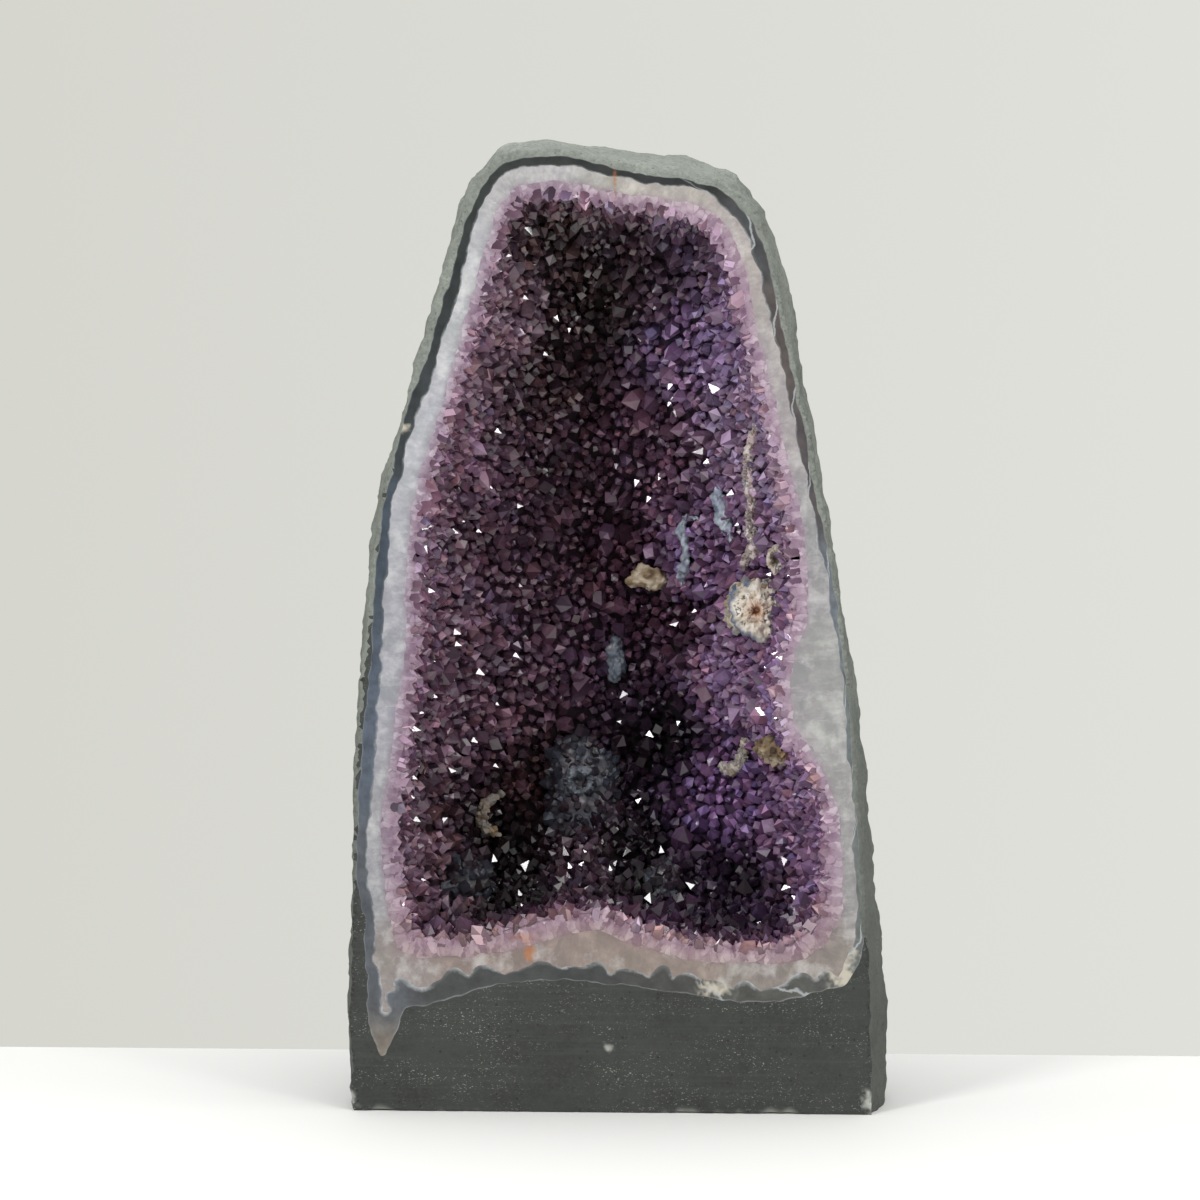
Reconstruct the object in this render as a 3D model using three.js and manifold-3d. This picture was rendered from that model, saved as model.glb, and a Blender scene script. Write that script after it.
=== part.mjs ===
// An amethyst geode, sawn open down its front and cut flat to stand up: a jacket of host rock lined in
// turn with agate, white quartz and a bed of amethyst points, with calcite and chalcedony grown on the bed.
// Millimetres, +Z up. The sawn front faces -Y, and the origin is under the middle of the stone.
import * as THREE from "three";
import { mergeVertices } from "three/addons/utils/BufferGeometryUtils.js";
import Module from "manifold-3d";

const wasm = await Module();
wasm.setup();

// ---- Outlines on the sawn front --------------------------------------------------------------------
// Each is a list of [x, z], clockwise from the lower left as the front is looked at.

// The stone's own edge. It carries on below the floor, where the flat base is sawn off.
const ROCK_EDGE = [
  [-112, -14], [-114.5, 20], [-114.5, 82], [-113.8, 130], [-110, 195], [-106.3, 232], [-101.5, 265],
  [-91.5, 303], [-84, 332], [-74.8, 360], [-66.8, 390], [-60, 404], [-50, 413.5], [-36, 416.5],
  [-20, 415.5], [0, 410], [20, 406.3], [44, 402.3], [56, 396], [63.6, 380], [68, 363], [78.7, 315],
  [89, 263], [96.8, 217], [102, 166], [105.8, 121], [108.4, 73], [110, 22], [109, -14], [92, -45],
  [48, -58], [-12, -60], [-72, -52], [-100, -38],
];

// Where the agate meets the host rock.
const AGATE_EDGE = [
  [-106, 51], [-109.6, 62], [-109, 86], [-112, 98], [-111.9, 121], [-110.6, 151], [-107.6, 182],
  [-105.6, 202], [-103.8, 233], [-99.8, 263], [-94, 290], [-86.2, 313], [-80.8, 329], [-71.5, 360],
  [-63, 390], [-56, 403.5], [-44, 412], [-27, 412.8], [-11, 410.2], [1, 406.6], [15, 404.6], [37, 400.8],
  [47, 397.6], [54.3, 391], [61, 380], [66, 363], [70.8, 341], [76.8, 315], [82.3, 286], [87.2, 263],
  [91, 240], [95, 217], [97.2, 200], [99.4, 182], [100.4, 166], [101.9, 151], [103.4, 136], [104.3, 121],
  [105, 105], [105.8, 90], [106.2, 73], [105.4, 60], [98, 55], [86, 52.5], [70, 49], [59, 48], [40, 51],
  [20, 53.5], [0, 55.5], [-20, 57.5], [-36, 57.5], [-50, 55.5], [-65, 52.5], [-84, 45.5], [-97, 46],
];

// Where the white quartz meets the agate.
const QUARTZ_EDGE = [
  [-100, 58], [-104, 63], [-105, 74], [-103.4, 88], [-107.4, 98], [-107.4, 121], [-105, 151],
  [-101.8, 182], [-101, 202], [-99.2, 233], [-96, 263], [-89, 290], [-80.8, 313], [-76, 329], [-67, 360],
  [-58.8, 390], [-52.8, 402], [-43, 408.5], [-27, 408.6], [-11, 406], [1, 402.6], [15, 401], [37, 397],
  [46, 392.8], [52.3, 386], [57, 377], [62.4, 360], [67, 338], [73, 313], [78.4, 286], [84.6, 263],
  [88.6, 240], [93, 217], [95.2, 200], [97.4, 182], [98.4, 166], [99.9, 151], [101.4, 136], [102.3, 121],
  [103, 105], [103.6, 90], [103.8, 76], [101.5, 66], [96, 60.5], [84.9, 59.6], [76, 56.4], [67, 54.4],
  [59, 57], [49, 55], [36, 56.5], [26, 60], [12.7, 61.5], [2, 60], [-7.7, 63], [-18.5, 64.5], [-34, 63.6],
  [-45, 60.5], [-58.5, 62.1], [-73, 58.5], [-82, 56], [-91, 56],
];

// Where the amethyst bed meets the white quartz.
const BED_EDGE = [
  [-95, 70], [-98.5, 77], [-98, 88], [-100, 98], [-101.5, 121], [-98.5, 151], [-93.7, 182], [-91, 202],
  [-90.3, 233], [-88, 263], [-80, 290], [-73, 313], [-69, 329], [-60, 360], [-52, 388], [-47.3, 397],
  [-39, 402], [-27, 401.8], [-11, 399.3], [1, 396.3], [15, 394.8], [35, 391.6], [43.5, 387.4],
  [49.6, 378], [55.7, 360], [60.2, 340], [65.8, 315], [73, 286], [78.5, 263], [81.7, 240], [83, 217],
  [77.8, 202], [74.4, 182], [77, 167], [88, 151], [94.6, 136], [96.6, 121], [98.2, 105], [98, 90],
  [93, 76], [84, 68.5], [70, 65.5], [47, 65.6], [24, 68], [10, 71], [1, 77], [-8, 80.5], [-26, 76],
  [-49, 69.5], [-65, 68], [-82, 66.5],
];

// The mouth of the cavity, inside the cut crystals of the rim.
const MOUTH_EDGE = [
  [-88, 76.5], [-91.5, 84], [-93, 98], [-95, 121], [-91.6, 151], [-88.6, 182], [-86.6, 202],
  [-85.6, 233], [-81.8, 263], [-75, 290], [-68, 313], [-64, 329], [-54, 360], [-46, 387], [-41.5, 393.5],
  [-36, 396.6], [-26, 396], [-11, 393.6], [1, 390.6], [15, 389], [33, 386], [39.5, 382], [44.3, 375],
  [50, 359], [55, 339], [60.6, 315], [67.5, 286], [73, 263], [76, 240], [76.6, 217], [72, 202],
  [69.4, 182], [71.6, 165], [83, 151], [89.5, 136], [90.7, 121], [90.6, 105], [89, 90], [82.5, 79.5],
  [70, 72], [47, 73], [30, 75], [18, 79], [8, 81.5], [-3, 87], [-18, 87], [-43, 81], [-61, 76.2],
  [-74, 74],
];

// The vein that runs down from the lining's lower left corner: its agate, and the quartz inside it.
const VEIN_AGATE = [[-108.6, 62], [-108, 40], [-102, 22], [-96, 32], [-86, 62]];
const VEIN_QUARTZ = [[-104, 70], [-104.5, 47], [-101, 41.5], [-97.5, 48], [-94, 70]];

// ---- Driving dimensions ----------------------------------------------------------------------------

const ROCK_DEPTH = 168; // from the sawn front to the deepest point of the back
const AGATE_DEPTH = 150;
const QUARTZ_DEPTH = 144;
const BED_DEPTH = 134;
const CAVITY_DEPTH = 116;
const VEIN_AGATE_DEPTH = 24;
const VEIN_QUARTZ_DEPTH = 12;

// The point of the front that is in line with the deepest point of each.
const ROCK_CENTRE = { x: -2, z: 172 };
const LINING_CENTRE = { x: 4, z: 190 };

// 2 gives an ellipsoid's back, and more a boxier one.
const ROCK_FULLNESS = 2.6;
const LINING_FULLNESS = 2.3;
const CAVITY_FULLNESS = 1.9;

// How far the rock swells behind its sawn edge: all round, more at the right of its foot, and more at
// the top.
const SWELL = { around: 4.5, rightFoot: 5, footHeight: 250, top: 6.5 };
const LUMP_HEIGHT = 3.2; // of the waves over the rock's back

// Amethyst points in rings round the cavity's wall, in zones. `from` and `to` are how far back a zone
// starts and ends, from 0 at the mouth to 1 at the deepest.
const POINT_ZONES = [
  { around: 48, rows: 8, from: 0.04, to: 0.58 },
  { around: 24, rows: 5, from: 0.63, to: 0.93 },
];
const POINT_HEIGHT = [3, 6]; // least and most, over the bed
const POINT_LEAN = 0.4; // towards the middle of the cavity
const ROW_ZIGZAG = 0.16; // how far the edges between rows swing, as a share of a row

// Where the bed stands forward of its dome or drops back from it: [x, z, spread, rise], to either side
// of a valley that runs down from the top.
const BED_MOUNDS = [
  [46, 262, 34, 17], [30, 330, 24, 9], [-50, 300, 22, 7], [-4, 318, 17, -9], [-2, 252, 17, -8],
  [-46, 196, 26, 8], [44, 176, 26, 9], [2, 150, 30, 6], [-30, 106, 17, -9], [4, 128, 14, -8],
  [62, 220, 13, 16],
];

const MOUND_RUN_IN = 60; // the depth over which a mound comes in from the mouth

const GAP = 0.35; // between neighbouring pieces
const VEIN_GAP = 0.6; // that a vein's outline is drawn in by, to leave the gap beside its sloping sides
const LOOP_POINTS = 64; // round each outline
const DOME_ROWS = 7; // from an outline to its deepest point
const DOME_ROW_SPREAD = 1.3; // over 1 sets the rows closer together near the front
const SAW_CLEARANCE = 6; // how far a cutting solid stands out of the sawn front
const SEAT = 0.3; // of a growth's thickness that is sunk into the bed
const REACH = 5; // to each side, over which the bed's slope is taken
const FACE_FRONT = 0.6; // of the way that a growth turns from square to the bed to square to the front

// The rounded growths: where each one's middle is on the front, and its size.
const LUMPS = {
  rosette: { x: 61, z: 217, width: 27, height: 26, thickness: 13, ruffle: 0.13, seed: 5 },
  tan_knob: { x: 9.5, z: 227.5, width: 21, height: 11, thickness: 9, ruffle: 0.12, seed: 8 },
  cream_block: { x: 68, z: 154, width: 17, height: 13, thickness: 9, ruffle: 0.14, seed: 13 },
  grey_stub: { x: -5, z: 189, width: 8, height: 20, thickness: 8, ruffle: 0.1, seed: 21 },
  ring_cluster: { x: -20, z: 131, width: 36, height: 50, thickness: 14, ruffle: 0.16, seed: 34 },
  grey_cluster_left: { x: -69, z: 93, width: 21, height: 24, thickness: 11, ruffle: 0.16, seed: 55 },
  grey_cluster_right: { x: 18, z: 95, width: 16, height: 18, thickness: 10, ruffle: 0.16, seed: 89 },
};

// The long growths: the line of each on the front as [x, z, half width].
const RIDGES = {
  vein_ridge: [
    [60, 297, 0.9], [57, 288, 2], [56, 274, 2.4], [58, 261, 1.8], [56.5, 252, 2.6], [60, 245, 3],
    [56, 239, 2.6], [54, 234, 1.2],
  ],
  pale_blade: [[41.5, 268, 1.4], [43, 261, 3.2], [46, 253, 3.4], [48.5, 246, 1]],
  blue_ribbon: [
    [33, 255, 0.9], [27.5, 256, 2], [25, 250, 2.2], [27, 242, 1.7], [26.5, 236, 1.8], [24.5, 229, 2.2],
    [25.5, 224, 0.9],
  ],
  cream_finger: [[43, 143.5, 1.6], [47.5, 141, 2.5], [51.5, 144, 2.6], [53.5, 150, 2.2], [54, 156, 1.2]],
  pale_shell: [[-56, 130, 1], [-62, 127.5, 2.2], [-64.5, 121, 2.6], [-62, 115, 2.2], [-57, 112.5, 1]],
};
const RIDGE_STEPS = 10; // along each
const RIDGE_SIDES = 6;
const RIDGE_TIP = 0.6; // how far an end runs on past the line, as a share of its half width

// The small ring above the rosette, and the one that stands in the cluster.
const ROSETTE_RING = { x: 69, z: 239, width: 7.8, height: 11.6, band: 2.1 };
const CLUSTER_RING = { x: -20, z: 136, width: 13, height: 13, band: 3, standing: 7 };
const RING_STEPS = 16; // round each
const RING_SIDES = 6;

// ---- Materials -------------------------------------------------------------------------------------

function material(color, roughness) {
  return new THREE.MeshStandardMaterial({ color, roughness, metalness: 0 });
}

const hostRockLook = () => material(0x434842, 0.75);
const agateLook = () => material(0x4c525b, 0.35);
const quartzLook = () => material(0xc2c0be, 0.45);
const amethystLook = () => material(0x4a3350, 0.2);
const calciteLook = () => material(0xc9bca6, 0.6);
const tanCalciteLook = () => material(0x8f785c, 0.6);
const chalcedonyLook = () => material(0x7b8a9c, 0.4);

// ---- Outlines and solids ---------------------------------------------------------------------------

// A fixed run of numbers from 0 to 1, so that the stone is the same each time.
function seeded(seed) {
  let state = seed;
  return () => {
    state = (state * 16807) % 2147483647;
    return state / 2147483647;
  };
}

function between([low, high], share) {
  return low + (high - low) * share;
}

// A closed curve through an outline's points, as evenly spaced places on the sawn front.
function closedLoop(outline, count) {
  const curve = new THREE.CatmullRomCurve3(
    outline.map(([x, z]) => new THREE.Vector3(x, 0, z)), true, "centripetal");
  curve.arcLengthDivisions = 1200;
  return Array.from({ length: count }, (_, i) => {
    const { x, z } = curve.getPointAt(i / count);
    return { x, z };
  });
}

// The direction into a clockwise loop at each of its points.
function inwards(loop) {
  return loop.map((_, i) => {
    const before = loop[(i + loop.length - 1) % loop.length];
    const after = loop[(i + 1) % loop.length];
    const length = Math.hypot(after.x - before.x, after.z - before.z);
    return { x: (after.z - before.z) / length, z: (before.x - after.x) / length };
  });
}

function inset(loop, distance) {
  const into = inwards(loop);
  return loop.map((p, i) => ({ x: p.x + into[i].x * distance, z: p.z + into[i].z * distance }));
}

// A closed three.js geometry as a manifold-3d solid.
function solid(geometry) {
  const bare = geometry.index ? geometry.toNonIndexed() : geometry.clone();
  bare.deleteAttribute("normal");
  bare.deleteAttribute("uv");
  const merged = mergeVertices(bare, 1e-4);
  return new wasm.Manifold(new wasm.Mesh({
    numProp: 3,
    vertProperties: merged.getAttribute("position").array,
    triVerts: new Uint32Array(merged.index.array),
  }));
}

// A manifold-3d solid as a three.js geometry.
function geometryOf(made) {
  const { numProp, numVert, vertProperties, triVerts } = made.getMesh();
  const places = new Float32Array(numVert * 3);
  for (let i = 0; i < numVert; i++) {
    places.set(vertProperties.subarray(i * numProp, i * numProp + 3), i * 3);
  }
  return new THREE.BufferGeometry()
    .setAttribute("position", new THREE.BufferAttribute(places, 3))
    .setIndex(new THREE.BufferAttribute(new Uint32Array(triVerts), 1));
}

function solidFrom(points, triangles) {
  return solid(new THREE.BufferGeometry()
    .setAttribute("position", new THREE.BufferAttribute(new Float32Array(points.flat()), 3))
    .setIndex(triangles.flat()));
}

// Triangles over the inside of a loop, facing the front.
function flatFront(loop) {
  const outline = loop.map((p) => new THREE.Vector2(p.x, p.z));
  return THREE.ShapeUtils.triangulateShape(outline, []).map(([a, b, c]) =>
    THREE.ShapeUtils.area([outline[a], outline[b], outline[c]]) > 0 ? [a, b, c] : [a, c, b]);
}

// Triangles between two rings of `count` points, the first of them nearer the front.
function wall(front, back, count) {
  return Array.from({ length: count }, (_, i) => {
    const next = (i + 1) % count;
    return [[front + i, front + next, back + next], [front + i, back + next, back + i]];
  }).flat();
}

// Triangles from a ring to the one point behind it.
function cone(ring, tip, count) {
  return Array.from({ length: count }, (_, i) => [ring + i, ring + ((i + 1) % count), tip]);
}

// Triangles from a ring to one behind it that has half as many points, `count` of them.
function narrowing(front, back, count) {
  return Array.from({ length: count }, (_, i) => {
    const [a, b, c] = [0, 1, 2].map((k) => front + ((2 * i + k) % (2 * count)));
    const next = back + ((i + 1) % count);
    return [[a, b, back + i], [b, c, back + i], [c, next, back + i]];
  }).flat();
}

// A place on the dome behind a loop: v runs from 0 at the front to 1 at the dome's deepest.
function onDome(place, v, { centre, depth, fullness }) {
  const across = Math.cos((v * Math.PI) / 2) ** (2 / fullness);
  const back = Math.sin((v * Math.PI) / 2) ** (2 / fullness);
  return [centre.x + (place.x - centre.x) * across, depth * back, centre.z + (place.z - centre.z) * across];
}

// A flat front with a dome behind it. `bulge` moves a place of the dome, given how far round and back.
function dome(loop, shape, { front = 0, bulge = (place) => place } = {}) {
  const count = loop.length;
  const points = loop.map((p) => [p.x, front, p.z]);
  const triangles = flatFront(loop);
  const firstRow = front < 0 ? 0 : 1;
  for (let row = firstRow; row < DOME_ROWS; row++) {
    const v = (row / DOME_ROWS) ** DOME_ROW_SPREAD;
    const start = points.length;
    points.push(...loop.map((p, i) => bulge(onDome(p, v, shape), i, v)));
    triangles.push(...wall(start - count, start, count));
  }
  points.push([shape.centre.x, shape.depth, shape.centre.z]);
  triangles.push(...cone(points.length - 1 - count, points.length - 1, count));
  return solidFrom(points, triangles);
}

// An outline as a solid that runs back from the sawn front.
function vein(outline, depth, front = 0) {
  const shape = new THREE.Shape(outline.map(([x, z]) => new THREE.Vector2(x, z)));
  const bar = new THREE.ExtrudeGeometry(shape, { depth: depth - front, bevelEnabled: false });
  return solid(bar.rotateX(Math.PI / 2).translate(0, depth, 0));
}

// ---- The layers ------------------------------------------------------------------------------------

// A short outline drawn in towards its own middle.
function drawnIn(outline, distance) {
  const middle = [0, 1].map((axis) => outline.reduce((sum, point) => sum + point[axis], 0) / outline.length);
  return outline.map(([x, z]) => {
    const share = 1 - distance / Math.hypot(x - middle[0], z - middle[1]);
    return [middle[0] + (x - middle[0]) * share, middle[1] + (z - middle[1]) * share];
  });
}

// One lining as it is, and as the slightly larger space that it leaves in the layer outside it.
function lining(outline, depth) {
  const loop = closedLoop(outline, LOOP_POINTS);
  const shape = { centre: LINING_CENTRE, fullness: LINING_FULLNESS };
  return {
    body: dome(inset(loop, GAP), { ...shape, depth: depth - GAP }),
    space: dome(loop, { ...shape, depth }, { front: -SAW_CLEARANCE }),
  };
}

// The same for a lining that has a vein running out of it.
function veinedLining(outline, depth, veinOutline, veinDepth) {
  const { body, space } = lining(outline, depth);
  return {
    body: body.add(vein(drawnIn(veinOutline, VEIN_GAP), veinDepth - GAP)),
    space: space.add(vein(veinOutline, veinDepth, -SAW_CLEARANCE)),
  };
}

// The rough outside: it swells behind the sawn edge, and rolls in long low waves round to the back.
function rockBulge(loop) {
  const into = inwards(loop);
  return ([x, y, z], i, v) => {
    const { x: ix, z: iz } = into[i];
    const foot = SWELL.rightFoot * Math.max(-ix, 0) * Math.max(1 - z / SWELL.footHeight, 0);
    const swell = SWELL.around + foot + SWELL.top * Math.max(-iz, 0);
    const wave = (Math.sin(x / 19 + z / 31) + Math.sin(z / 17 - y / 23) + Math.sin(x / 27 + y / 15 + 2)) / 3;
    const lump = LUMP_HEIGHT * wave * Math.sin(2 * Math.PI * v ** 0.6);
    const out = swell * Math.sin(Math.PI * v ** 0.45) + lump;
    return [x - ix * out, y + lump * v, z - iz * out];
  };
}

function hostRock(agate) {
  const loop = closedLoop(ROCK_EDGE, LOOP_POINTS);
  const shape = { centre: ROCK_CENTRE, depth: ROCK_DEPTH, fullness: ROCK_FULLNESS };
  const whole = dome(loop, shape, { bulge: rockBulge(loop) });
  const underFloor = solid(new THREE.BoxGeometry(600, 600, 200).translate(0, 0, -100));
  return whole.subtract(underFloor).subtract(agate.space);
}

// How far the bed stands forward of its dome at a place on the front.
function rise(x, z) {
  return BED_MOUNDS.reduce((sum, [mx, mz, spread, height]) =>
    sum + height * Math.exp(-((x - mx) ** 2 + (z - mz) ** 2) / (2 * spread ** 2)), 0);
}

const CAVITY_SHAPE = { centre: LINING_CENTRE, depth: CAVITY_DEPTH, fullness: CAVITY_FULLNESS };

// A place on the cavity's wall: its dome, with the mounds of the bed standing forward of it.
function onCavityWall(place, v) {
  const [x, y, z] = onDome(place, v, CAVITY_SHAPE);
  return [x, y - rise(x, z) * Math.min(y / MOUND_RUN_IN, 1), z];
}

// The tip of the amethyst point over one cell of the wall. It leans towards the middle of the cavity.
function pointTip(corners, height) {
  const places = corners.map((c) => new THREE.Vector3(...c));
  const middle = places.reduce((sum, p) => sum.add(p), new THREE.Vector3()).divideScalar(places.length);
  const towards = new THREE.Vector3(CAVITY_SHAPE.centre.x, 0, CAVITY_SHAPE.centre.z).sub(middle).normalize();
  const [first, second, , , fifth] = places;
  const facing = second.clone().sub(first).cross(fifth.clone().sub(first)).normalize();
  const sign = facing.dot(towards) < 0 ? -1 : 1;
  facing.multiplyScalar(sign).addScaledVector(towards, POINT_LEAN).normalize();
  return middle.addScaledVector(facing, height).toArray();
}

// One zone of the wall, added to the points and triangles so far: zigzag lines between rows of six-sided
// cells, and over each cell the tip of its amethyst point. Returns where its last line starts.
function addZone({ around, rows, from, to }, random, points, triangles) {
  const loop = closedLoop(MOUTH_EDGE, around * 2);
  const first = points.length;
  const swing = (ROW_ZIGZAG * (to - from)) / rows;
  for (let line = 0; line <= rows; line++) {
    const v = from + (to - from) * (line / rows);
    points.push(...loop.map((p, k) => onCavityWall(p, v + ((k + line) % 2 ? -swing : swing))));
  }
  const at = (k, line) => first + line * loop.length + (k % loop.length);
  for (let row = 0; row < rows; row++) {
    for (let k = row % 2; k < loop.length; k += 2) {
      const nearer = [at(k, row), at(k + 1, row), at(k + 2, row)];
      const corners = [...nearer, at(k + 2, row + 1), at(k + 1, row + 1), at(k, row + 1)];
      points.push(pointTip(corners.map((c) => points[c]), between(POINT_HEIGHT, random())));
      triangles.push(...corners.map((c, i) => [c, corners[(i + 1) % corners.length], points.length - 1]));
    }
  }
  return at(0, rows);
}

// The space inside the bed, as a solid that stands out of the sawn front.
function cavity() {
  const random = seeded(11);
  let steps = POINT_ZONES[0].around * 2;
  const mouth = closedLoop(MOUTH_EDGE, steps);
  const points = [...mouth.map((p) => [p.x, -SAW_CLEARANCE, p.z]), ...mouth.map((p) => [p.x, 0, p.z])];
  const triangles = [...flatFront(mouth), ...wall(0, steps, steps)];
  let ring = steps;
  for (const zone of POINT_ZONES) {
    const join = zone.around * 2 === steps ? wall : narrowing;
    steps = zone.around * 2;
    triangles.push(...join(ring, points.length, steps));
    ring = addZone(zone, random, points, triangles);
  }
  points.push(onCavityWall(CAVITY_SHAPE.centre, 1));
  triangles.push(...cone(ring, points.length - 1, steps));
  return solidFrom(points, triangles);
}

// ---- The growths on the bed ------------------------------------------------------------------------

// The place on the bed's points behind a place on the front, and the way that the bed faces there.
function bedFinder(space) {
  const mesh = new THREE.Mesh(geometryOf(space), new THREE.MeshBasicMaterial({ side: THREE.DoubleSide }));
  const depthAt = (x, z) => {
    const ray = new THREE.Raycaster(new THREE.Vector3(x, -50, z), new THREE.Vector3(0, 1, 0));
    const hits = ray.intersectObject(mesh);
    return hits.length ? hits[hits.length - 1].point.y : 0;
  };
  return (x, z) => {
    const [right, left] = [depthAt(x + REACH, z), depthAt(x - REACH, z)];
    const [up, down] = [depthAt(x, z + REACH), depthAt(x, z - REACH)];
    const square = new THREE.Vector3(right - left, -2 * REACH, up - down).normalize();
    return {
      place: new THREE.Vector3(x, (depthAt(x, z) + right + left + up + down) / 5, z),
      facing: square.lerp(new THREE.Vector3(0, -1, 0), FACE_FRONT).normalize(),
    };
  };
}

// A solid made flat against the front, moved to where it sits on the bed.
function seated(geometry, { place, facing }, out) {
  geometry.applyQuaternion(new THREE.Quaternion().setFromUnitVectors(new THREE.Vector3(0, -1, 0), facing));
  geometry.translate(...place.clone().addScaledVector(facing, out).toArray());
  return solid(geometry);
}

// A rounded mass with a ruffled surface, larger all round by `grow`.
function lump({ x, z, width, height, thickness, ruffle, seed }, find, grow) {
  const ball = new THREE.IcosahedronGeometry(1, 2);
  const position = ball.getAttribute("position");
  const p = new THREE.Vector3();
  for (let i = 0; i < position.count; i++) {
    p.fromBufferAttribute(position, i);
    const across = Math.sin(p.x * 4.1 + seed);
    const up = Math.sin(p.z * 4.7 + seed * 2);
    const back = Math.sin(p.y * 3.7 + p.x * 3 + seed);
    p.multiplyScalar(1 + (ruffle * (across + up + back)) / 2);
    position.setXYZ(i, p.x * (width / 2 + grow), p.y * (thickness / 2 + grow), p.z * (height / 2 + grow));
  }
  return seated(ball, find(x, z), thickness * (0.5 - SEAT));
}

// One ring of a ridge's section, at a share t of its line.
function ridgeSection(path, widths, t, find, grow) {
  const { x, z } = path.getPoint(t);
  const along = path.getTangent(t);
  const radius = widths.getPoint(t).y + grow;
  const side = new THREE.Vector3(-along.z, 0, along.x);
  const middle = find(x, z).place.add(new THREE.Vector3(0, -radius * (1 - 2 * SEAT), 0));
  const ring = Array.from({ length: RIDGE_SIDES }, (_, k) => {
    const angle = (2 * Math.PI * k) / RIDGE_SIDES;
    const place = middle.clone().addScaledVector(side, radius * Math.cos(angle));
    return [place.x, place.y - radius * Math.sin(angle), place.z];
  });
  return { ring, tip: (sign) => middle.clone().addScaledVector(along, sign * radius * RIDGE_TIP).toArray() };
}

// A tapering ridge that follows the bed along a line on the front, larger all round by `grow`.
function ridge(line, find, grow) {
  const path = new THREE.CatmullRomCurve3(line.map(([x, z]) => new THREE.Vector3(x, 0, z)));
  const widths = new THREE.CatmullRomCurve3(line.map(([, , width], i) => new THREE.Vector3(i, width, 0)));
  const sections = Array.from({ length: RIDGE_STEPS + 1 }, (_, step) =>
    ridgeSection(path, widths, step / RIDGE_STEPS, find, grow));
  const points = sections.flatMap(({ ring }) => ring);
  const last = RIDGE_STEPS * RIDGE_SIDES;
  const triangles = [];
  for (let start = 0; start < last; start += RIDGE_SIDES) {
    triangles.push(...wall(start, start + RIDGE_SIDES, RIDGE_SIDES));
  }
  points.push(sections[0].tip(-1), sections[RIDGE_STEPS].tip(1));
  triangles.push(...cone(0, points.length - 2, RIDGE_SIDES).map(([a, b, c]) => [b, a, c]));
  triangles.push(...cone(last, points.length - 1, RIDGE_SIDES));
  return solidFrom(points, triangles);
}

// An oval ring that faces out from the bed, larger all round by `grow`.
function ovalRing({ x, z, width, height, band, standing = 0 }, find, grow) {
  const geometry = new THREE.TorusGeometry((width - band) / 2, band / 2 + grow, RING_SIDES, RING_STEPS);
  geometry.scale(1, (height - band) / (width - band), 1).rotateX(Math.PI / 2);
  return seated(geometry, find(x, z), standing + band * (0.5 - SEAT));
}

// Every growth, as a function of how much larger than itself it is made.
function growthMakers(find) {
  const makers = {};
  for (const [name, line] of Object.entries(RIDGES)) {
    makers[name] = (grow) => ridge(line, find, grow);
  }
  for (const [name, size] of Object.entries(LUMPS)) {
    makers[name] = (grow) => lump(size, find, grow);
  }
  makers.rosette_ring = (grow) => ovalRing(ROSETTE_RING, find, grow);
  const mass = makers.ring_cluster;
  makers.ring_cluster = (grow) => mass(grow).add(ovalRing(CLUSTER_RING, find, grow));
  return makers;
}

// The bed with its hollow, and with a socket in it for each growth. A crystal tip that a socket cuts off
// is left out.
function amethystBed(bed, hollow, makers) {
  const socketed = makers.reduce((body, maker) => body.subtract(maker(GAP)), bed.body.subtract(hollow));
  return socketed.decompose().sort((a, b) => b.volume() - a.volume())[0];
}

// ---- The geode -------------------------------------------------------------------------------------

const agate = veinedLining(AGATE_EDGE, AGATE_DEPTH, VEIN_AGATE, VEIN_AGATE_DEPTH);
const quartz = veinedLining(QUARTZ_EDGE, QUARTZ_DEPTH, VEIN_QUARTZ, VEIN_QUARTZ_DEPTH);
const bed = lining(BED_EDGE, BED_DEPTH);
const hollow = cavity();
const makers = growthMakers(bedFinder(hollow));

const GROWTH_LOOKS = {
  rosette: calciteLook,
  rosette_ring: calciteLook,
  vein_ridge: calciteLook,
  cream_finger: calciteLook,
  cream_block: calciteLook,
  pale_shell: calciteLook,
  tan_knob: tanCalciteLook,
  pale_blade: chalcedonyLook,
  blue_ribbon: chalcedonyLook,
  grey_stub: chalcedonyLook,
  ring_cluster: chalcedonyLook,
  grey_cluster_left: chalcedonyLook,
  grey_cluster_right: chalcedonyLook,
};

const geode = new THREE.Group();
geode.name = "amethyst_geode";

function addPiece(name, made, look) {
  const mesh = new THREE.Mesh(geometryOf(made), look());
  mesh.name = name;
  geode.add(mesh);
}

addPiece("host_rock", hostRock(agate), hostRockLook);
addPiece("agate_rind", agate.body.subtract(quartz.space), agateLook);
addPiece("quartz_band", quartz.body.subtract(bed.space), quartzLook);
addPiece("amethyst_bed", amethystBed(bed, hollow, Object.values(makers)), amethystLook);
for (const [name, look] of Object.entries(GROWTH_LOOKS)) {
  addPiece(name, makers[name](0), look);
}

// The front is at y = 0 so far: the origin goes under the middle of the whole.
const middle = new THREE.Box3().setFromObject(geode).getCenter(new THREE.Vector3());
geode.children.forEach((mesh) => mesh.geometry.translate(-middle.x, -middle.y, 0));

export default geode;
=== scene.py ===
"""The looks of an amethyst geode: a tall stone sawn open down its front and cut flat to stand on.

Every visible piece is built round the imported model, which is the fixed frame, in metres.
"""

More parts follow.
